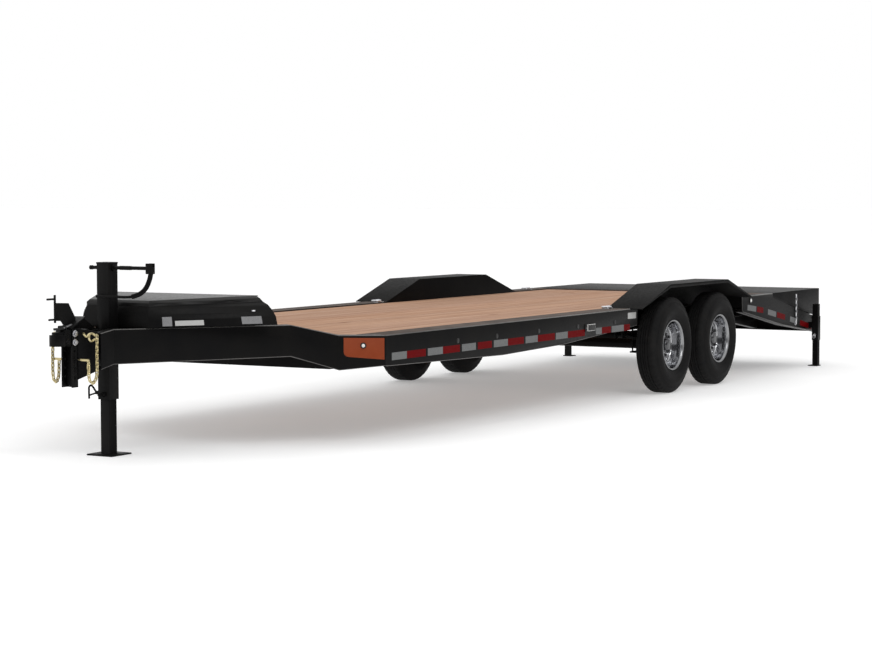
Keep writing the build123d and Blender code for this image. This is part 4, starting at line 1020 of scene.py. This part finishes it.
def face_lamp(name, point, normal, r, mat, depth=0.010, body="chassis"):
    """Grommet-mounted lamp on any upright face: rubber ring and domed lens."""
    bm = bmesh.new()
    for prof, m in (([(1.0, 0.0), (1.02, 0.35), (0.92, 0.6), (0.72, 0.55), (0.62, 0.3), (0.60, 0.0)], 0),
                    ([(0.62, 0.25), (0.58, 0.62), (0.42, 0.85), (0.2, 0.97), (0.001, 1.0)], 1)):
        lathe_in(bm, [(r * a, depth * b) for a, b in prof], 32, (0, 0, 0), "Y", mat=m)
    turn = Vector(normal).to_track_quat("Y", "Z").to_matrix().to_4x4()
    bmesh.ops.transform(bm, matrix=Matrix.Translation(Vector(point)) @ turn, verts=bm.verts)
    bmesh.ops.recalc_face_normals(bm, faces=bm.faces)
    ob = new_object(name, bm, [M["black_plastic"], mat], body, smooth=40)


def round_lamp(name, x, z, s, r, mat, y=1.2019, depth=0.010, body="chassis"):
    """Grommet-mounted lamp: rubber ring and domed lens."""
    bm = bmesh.new()
    lathe_in(bm, [(r * 1.0, 0.0), (r * 1.02, depth * 0.35), (r * 0.92, depth * 0.6),
                  (r * 0.72, depth * 0.55), (r * 0.62, depth * 0.3), (r * 0.60, 0.0)], 36,
             (x, s * y, z), "Y", mat=0, s=s)
    lathe_in(bm, [(r * 0.62, depth * 0.25), (r * 0.58, depth * 0.62), (r * 0.42, depth * 0.85),
                  (r * 0.2, depth * 0.97), (0.0001, depth)], 36, (x, s * y, z), "Y", mat=1, s=s)
    bmesh.ops.recalc_face_normals(bm, faces=bm.faces)
    ob = new_object(name, bm, [M["black_plastic"], mat], body, smooth=40)


def box_lamp(name, x0, x1, z0, z1, s, mat, y=1.2001, depth=0.016):
    """Rectangular side lamp: base, lens with ribs, two screws."""
    bm = bmesh.new()
    y0, y1 = sorted((s * y, s * (y + depth * 0.45)))
    box_in(bm, x0, x1, y0, y1, z0, z1, 0, 0.002)
    y0, y1 = sorted((s * (y + depth * 0.45), s * (y + depth)))
    t = (x1 - x0) * 0.12
    box_in(bm, x0 + t, x1 - t, y0, y1, z0 + 0.004, z1 - 0.004, 1, 0.003, 3)
    for xx in (x0 + t / 2, x1 - t / 2):
        tube_in(bm, (xx, s * (y + depth * 0.45), (z0 + z1) / 2),
                (xx, s * (y + depth * 0.60), (z0 + z1) / 2), 0.0035, 10, 2)
    ob = new_object(name, bm, [M["black_plastic"], mat, M["bright_steel"]], "chassis", smooth=35)


for s, side in ((1, "left"), (-1, "right")):
    face_lamp("marker_lamp_" + side, on_chamfer(0.137, 0.629, 0.0016, s),
              (OUT.x, s * OUT.y, 0.0), 0.0185, M["lamp_clear"])
    box_lamp("side_lamp_" + side, fa(1.242), fa(1.407), 0.560, 0.617, s, M["lamp_clear"])
    # small oval reflectors and the heads of the plugs in the rail
    bm = bmesh.new()
    for xx in (3.276, 2.742, 2.129, 1.52, 0.905):
        lathe_in(bm, [(0.017, 0.0), (0.0165, 0.0022), (0.012, 0.0034), (0.0001, 0.0036)], 24,
                 (fa(xx), s * 1.2001, 0.606), "Y", s=s)
    ob = new_object("rail_plugs_" + side, bm, M["black_plastic"], "chassis", smooth=40)
    # blank plate at the end of the rail ahead of the fender
    bm = bmesh.new()
    y0, y1 = sorted((s * 1.2001, s * 1.2012))
    box_in(bm, fa(0.537), fa(0.679), y0, y1, 0.618, 0.665, 0, 0.0004, 1)
    ob = new_object("rail_plate_" + side, bm, M["plate_white"], "chassis")

# ---------------------------------------------------------------------------
# Small fittings on the dovetail sides: lamps, a hanging chain and stand pins
# ---------------------------------------------------------------------------
def link_in(bm, centre, along, across, length, width, r, mat=0, n=20, k=6):
    """Oval chain link: a bent bar round a racetrack path."""
    along, across = Vector(along).normalized(), Vector(across).normalized()
    flat = (length - width) / 2
    pts = []
    for i in range(n):
        a = 2 * math.pi * i / n
        c, t = math.cos(a), math.sin(a)
        pts.append((along * ((flat if c > 0 else -flat) + (width / 2 - r) * c)
                    + across * (width / 2 - r) * t, along * c + across * t))
    up = along.cross(across)
    rings = []
    for p, o in pts:
        ring = []
        for j in range(k):
            b = 2 * math.pi * j / k
            ring.append(bm.verts.new(Vector(centre) + p + o * r * math.cos(b) + up * r * math.sin(b)))
        rings.append(ring)
    for i in range(n):
        a, b = rings[i], rings[(i + 1) % n]
        for j in range(k):
            f = bm.faces.new((a[j], a[(j + 1) % k], b[(j + 1) % k], b[j]))
            f.material_index = mat


for s, side in ((1, "left"), (-1, "right")):
    face_lamp("dovetail_lamp_" + side, (fa(-1.740), s * 1.2001, 0.654), (0, s, 0), 0.026,
              M["lamp_clear"], 0.012)
    for i, (lx, lz, lr) in enumerate(((-3.206, 0.4395, 0.0125), (-3.219, 0.4080, 0.0125),
                                      (-3.183, 0.3580, 0.015))):
        face_lamp("rear_side_lamp_%d_%s" % (i, side), (fa(lx), s * 1.2001, lz), (0, s, 0), lr,
                  M["lamp_amber"] if i == 0 else M["lamp_red"], 0.009)
    bm = bmesh.new()
    zc = 0.648
    for i in range(9):
        link_in(bm, (fa(-2.780), s * 1.2085, zc - 0.0275 * i), (0, 0, 1),
                (1, 0, 0) if i % 2 == 0 else (0, 1, 0), 0.040, 0.020 if i % 2 == 0 else 0.0165,
                0.0034)
    nut_in(bm, (fa(-2.780), s * 1.2002, 0.404), (0, s, 0), 0.022, 0.010)
    bmesh.ops.recalc_face_normals(bm, faces=bm.faces)
    ob = new_object("dovetail_chain_" + side, bm, M["bright_steel"], "chassis", smooth=50)
    # spring pin through the stand's sleeve, with a pull ring
    bm = bmesh.new()
    px, py, pz = fa(-3.098), s * 1.2655, 0.283
    tube_in(bm, (px, py, pz), (px + 0.010, py, pz), 0.0125, 20)
    tube_in(bm, (px + 0.010, py, pz), (px + 0.030, py, pz), 0.0085, 18, r2=0.0075)
    link_in(bm, (px + 0.026, py, pz - 0.012), (0, 0, 1), (0, 1, 0), 0.034, 0.030, 0.0022)
    ob = new_object("stand_pin_" + side, bm, M["bright_steel"], "chassis", smooth=40)

# ---------------------------------------------------------------------------
# Blank plates on the toolbox's sides
# ---------------------------------------------------------------------------
BOX = [(0.777, 5.380, 0.769, 0.256, 0.0), (0.830, 5.376, 0.757, 0.252, 0.8),
       (0.865, 5.371, 0.733, 0.247, 1.1), (0.900, 5.361, 0.698, 0.242, 1.45),
       (0.925, 5.347, 0.648, 0.237, 1.6)]


def on_box(a, level, s, out):
    """Point on the toolbox's slanting side: a runs rear to front, level from ring to ring."""
    def at(i):
        z, front, rh, fh, tilt = BOX[i]
        run = (front - 4.75) * a
        return Vector((fa(4.75 + run), rh + (fh - rh) * a, z - math.tan(math.radians(tilt)) * run))
    i = min(int(level), len(BOX) - 2)
    p, q = at(i), at(i + 1)
    p = p + (q - p) * (level - i)
    p += Vector((0.63, 0.76, 0.10)).normalized() * out
    return Vector((p.x, s * p.y, p.z))


for s, side in ((1, "left"), (-1, "right")):
    bm = bmesh.new()
    for a0, a1, levels, shade in ((0.816, 0.890, (0.16, 1.0, 1.55), 1),
                                  (0.571, 0.793, (0.19, 0.84), 0),
                                  (0.116, 0.275, (0.20, 1.0, 1.12), 1)):
        before = set(bm.faces)
        grids = []
        for out in (0.0002, 0.0014):
            grids.append([[bm.verts.new(on_box(a, lv, s, out)) for a in (a0, (a0 + a1) / 2, a1)]
                          for lv in levels])
        top = grids[1]
        for r0, r1 in zip(top, top[1:]):
            for i in range(2):
                bm.faces.new((r0[i], r0[i + 1], r1[i + 1], r1[i]))
        loop = lambda g: (g[0] + [row[-1] for row in g[1:-1]] + list(reversed(g[-1]))
                          + [row[0] for row in reversed(g[1:-1])])
        la, lb = loop(grids[0]), loop(grids[1])
        for i in range(len(la)):
            j = (i + 1) % len(la)
            bm.faces.new((la[i], la[j], lb[j], lb[i]))
        for row in grids[0]:
            for v in row:
                if not v.link_faces:
                    bm.verts.remove(v)
        for f in set(bm.faces) - before:
            f.material_index = shade
    bmesh.ops.recalc_face_normals(bm, faces=bm.faces)
    ob = new_object("toolbox_plates_" + side, bm, [M["plate_white"], M["plate_grey"]], "chassis")
    # small oval lock cover
    bm = bmesh.new()
    c = on_box(0.155, 2.05, s, 0.001)
    lathe_in(bm, [(0.0125, 0.0), (0.0120, 0.002), (0.0080, 0.0032), (0.0001, 0.0036)], 24,
             (0, 0, 0), "Y")
    bmesh.ops.scale(bm, vec=(1.0, 1.0, 0.42), verts=bm.verts)
    turn = Vector((0.62, s * 0.66, 0.42)).to_track_quat("Y", "Z").to_matrix().to_4x4()
    bmesh.ops.transform(bm, matrix=Matrix.Translation(c) @ turn, verts=bm.verts)
    ob = new_object("toolbox_lock_" + side, bm, M["bright_steel"], "chassis", smooth=40)

# ---------------------------------------------------------------------------
# Coupler bolts, chain hook, and the pull handle of the jack's plunger
# ---------------------------------------------------------------------------
bm = bmesh.new()
for s in (1, -1):
    for z in (0.760, 0.709):
        nut_in(bm, (fa(5.807), s * 0.0421, z), (0, s, 0), 0.026, 0.013)
ob = new_object("coupler_bolts", bm, M["bright_steel"], "chassis", smooth=35)


def chain(name, points, y, node, pitch=0.0235):
    """Oval links strung along a line, every other one turned a quarter."""
    pts = [Vector((fa(p[0]), y, p[1])) for p in points]
    bm = bmesh.new()
    i, left, at, k = 0, 0.0, pts[0].copy(), 0
    walk = [at.copy()]
    while i < len(pts) - 1:
        seg = pts[i + 1] - at
        if seg.length >= pitch - left:
            at = at + seg.normalized() * (pitch - left)
            left = 0.0
            walk.append(at.copy())
        else:
            left += seg.length
            i += 1
            at = pts[i].copy()
    for k, p in enumerate(walk):
        a, b = walk[max(k - 1, 0)], walk[min(k + 1, len(walk) - 1)]
        d = (b - a).normalized()
        side = Vector((0, 1, 0)) if k % 2 else d.cross(Vector((0, 1, 0))).normalized()
        link_in(bm, p, d, side, 0.0375, 0.0245, 0.0046, n=20, k=7)
    bmesh.ops.recalc_face_normals(bm, faces=bm.faces)
    ob = new_object(name, bm, M["gold_zinc"], "chassis", smooth=50)
    stands_for(node)


def rounded(points, n=6):
    """Finer line through the points, with its corners eased."""
    out = []
    for i in range(len(points) - 1):
        p0 = Vector((*points[max(i - 1, 0)], 0))
        p1, p2 = Vector((*points[i], 0)), Vector((*points[i + 1], 0))
        p3 = Vector((*points[min(i + 2, len(points) - 1)], 0))
        for j in range(n):
            t = j / n
            q = 0.5 * ((2 * p1) + (p2 - p0) * t + (2 * p0 - 5 * p1 + 4 * p2 - p3) * t * t
                       + (3 * p1 - p0 - 3 * p2 + p3) * t * t * t)
            out.append((q.x, q.y))
    out.append(tuple(points[-1]))
    return out


chain("safety_chain_links_left",
      rounded([(5.712, 0.738), (5.715, 0.640), (5.716, 0.530), (5.730, 0.485), (5.753, 0.468),
               (5.776, 0.477), (5.790, 0.508), (5.794, 0.592)]), 0.132, "safety_chain_left")
chain("safety_chain_links_right",
      rounded([(5.799, 0.730), (5.803, 0.640), (5.804, 0.530), (5.796, 0.484), (5.778, 0.466),
               (5.761, 0.480), (5.750, 0.510), (5.745, 0.600)]), -0.132, "safety_chain_right")
for s, side in ((1, "left"), (-1, "right")):
    name = "chain_hook_" + side
    hy = s * 0.112
    path_tube(name, [(fa(5.712), s * 0.122, 0.744), (fa(5.728), hy, 0.757), (fa(5.757), hy, 0.756),
                     (fa(5.785), hy, 0.744), (fa(5.800), hy, 0.752), (fa(5.812), hy, 0.764)],
              0.0075, M["gold_zinc"], "chassis")
    path_tube(name + "_throat", [(fa(5.757), hy, 0.752), (fa(5.762), hy, 0.732),
                                 (fa(5.748), hy, 0.716), (fa(5.728), hy, 0.716),
                                 (fa(5.716), s * 0.120, 0.728)], 0.0070, M["gold_zinc"], "chassis")
    # keeper that holds the free end of the chain against the nose
    bm = bmesh.new()
    y0, y1 = sorted((s * 0.060, s * 0.137))
    box_in(bm, fa(5.786), fa(5.803), y0, y1, 0.598, 0.612, 0, 0.003)
    ob = new_object("chain_keeper_" + side, bm, M["gold_zinc"], "chassis", smooth=40)
jx = fa(5.447)
path_tube("jack_plunger_handle",
          [(jx, -0.088, 0.372), (jx + 0.006, -0.100, 0.392), (jx + 0.012, -0.112, 0.412),
           (jx + 0.016, -0.122, 0.420), (jx + 0.020, -0.132, 0.412), (jx + 0.021, -0.134, 0.390),
           (jx + 0.021, -0.134, 0.362), (jx + 0.021, -0.133, 0.338)], 0.0062,
          M["frame_black"], "chassis")
bm = bmesh.new()
tube_in(bm, (jx, -0.0440, 0.376), (jx, -0.0640, 0.376), 0.026, 24)
tube_in(bm, (jx, -0.0640, 0.376), (jx, -0.0700, 0.376), 0.026, 24, r2=0.016)
tube_in(bm, (jx, -0.0700, 0.376), (jx, -0.0960, 0.376), 0.0115, 14)
tube_in(bm, (jx - 0.004, -0.0900, 0.376), (jx + 0.024, -0.1340, 0.358), 0.0052, 12)
ob = new_object("jack_plunger", bm, M["frame_black"], "chassis", smooth=40)

# crank: shaft, clevis knuckle, heavy arm that bends into a thin bar
cz = 1.140
bm = bmesh.new()
tube_in(bm, (jx, -0.130, cz), (jx, 0.318, cz), 0.0110, 24)
tube_in(bm, (jx, -0.129, cz), (jx, -0.112, cz), 0.0132, 24)
tube_in(bm, (jx, 0.100, cz), (jx, 0.185, cz), 0.0128, 24)
tube_in(bm, (jx, 0.0475, cz), (jx, 0.0580, cz), 0.0200, 28)
tube_in(bm, (jx, -0.0580, cz), (jx, -0.0475, cz), 0.0200, 28)
box_in(bm, jx - 0.019, jx - 0.012, 0.306, 0.351, cz - 0.034, cz + 0.030, 0, 0.009, 4)
box_in(bm, jx + 0.012, jx + 0.019, 0.306, 0.351, cz - 0.034, cz + 0.030, 0, 0.009, 4)
box_in(bm, jx - 0.013, jx + 0.013, 0.302, 0.326, cz - 0.020, cz + 0.020, 0, 0.004, 3)
tube_in(bm, (jx - 0.0195, 0.338, cz + 0.012), (jx + 0.0195, 0.338, cz + 0.012), 0.0065, 18)
tube_in(bm, (jx - 0.0195, 0.338, cz - 0.010), (jx + 0.0195, 0.338, cz - 0.010), 0.0065, 18)
crank = new_object("jack_crank_shaft", bm, M["frame_black"], "chassis", smooth=40)
stands_for("jack_crank")
path_tube("jack_crank_arm",
          [(jx, 0.338, cz + 0.008), (jx + 0.003, 0.333, cz - 0.040), (jx + 0.010, 0.325, 1.060),
           (jx + 0.022, 0.308, 1.018), (jx + 0.038, 0.283, 0.990), (jx + 0.052, 0.258, 0.977),
           (jx + 0.060, 0.236, 0.9705)], 0.0150, M["frame_black"], "chassis", bevel_res=5)
path_tube("jack_crank_bar",
          [(jx + 0.056, 0.246, 0.9735), (jx + 0.061, 0.215, 0.9690), (jx + 0.063, 0.100, 0.9680),
           (jx + 0.063, -0.034, 0.9680)], 0.0085, M["frame_black"], "chassis")
bm = bmesh.new()
box_in(bm, jx - 0.0475, jx + 0.0475, -0.0475, 0.0475, 1.1635, 1.1738, 0, 0.003, 3)
ob = new_object("jack_cap", bm, M["frame_black"], "chassis", smooth=40)
# coupler latch on top of the head
bm = bmesh.new()
box_in(bm, fa(5.852), fa(5.935), -0.0165, 0.0165, 0.784, 0.798, 0, 0.004, 3)
box_in(bm, fa(5.846), fa(5.900), -0.0120, 0.0120, 0.796, 0.811, 0, 0.005, 3)
tube_in(bm, (fa(5.862), -0.0235, 0.798), (fa(5.862), 0.0235, 0.798), 0.0062, 18)
ob = new_object("coupler_latch", bm, M["black_plastic"], "chassis", smooth=40)
# sloped cover plate between the nose and the toolbox; its light grey is painted light, lifting a plate that sits in
# shade
bm = bmesh.new()
ring = [(5.878, 0.799), (5.800, 0.816), (5.690, 0.857), (5.690, 0.852), (5.800, 0.811),
        (5.878, 0.794)]
lo = [bm.verts.new((fa(px), -0.021, pz)) for px, pz in ring]
hi = [bm.verts.new((fa(px), 0.021, pz)) for px, pz in ring]
bm.faces.new(hi)
bm.faces.new(list(reversed(lo)))
for i in range(len(ring)):
    j = (i + 1) % len(ring)
    bm.faces.new((lo[i], lo[j], hi[j], hi[i]))
bmesh.ops.recalc_face_normals(bm, faces=bm.faces)
ob = new_object("nose_cover", bm, M["plate_grey"], "chassis")
# gusset behind it, up to the front of the toolbox
bm = bmesh.new()
ring = [(5.520, 0.770), (5.835, 0.790), (5.797, 0.802), (5.700, 0.843), (5.640, 0.850),
        (5.560, 0.800)]
lo = [bm.verts.new((fa(px), -0.044, pz)) for px, pz in ring]
hi = [bm.verts.new((fa(px), -0.036, pz)) for px, pz in ring]
bm.faces.new(hi)
bm.faces.new(list(reversed(lo)))
for i in range(len(ring)):
    j = (i + 1) % len(ring)
    bm.faces.new((lo[i], lo[j], hi[j], hi[i]))
bmesh.ops.recalc_face_normals(bm, faces=bm.faces)
ob = new_object("nose_gusset", bm, M["frame_black"], "chassis")
# plain caps in the unused holes on the far side of the height channel
bm = bmesh.new()
for k in range(4):
    cap_z = 0.505 + 0.051 * k
    tube_in(bm, (fa(5.807), -0.0420, cap_z), (fa(5.807), -0.0445, cap_z), 0.0110, 20)
    tube_in(bm, (fa(5.807), -0.0425, cap_z), (fa(5.807), -0.0335, cap_z), 0.0078, 20)
bmesh.ops.recalc_face_normals(bm, faces=bm.faces)
ob = new_object("channel_caps", bm, M["black_plastic"], "chassis", smooth=40)

# ---------------------------------------------------------------------------
# Anything left from the CAD gets its finished material
# ---------------------------------------------------------------------------
for n, o in NODES.items():
    o.data.materials.clear()
    o.data.materials.append(M[SLOTS[n]])
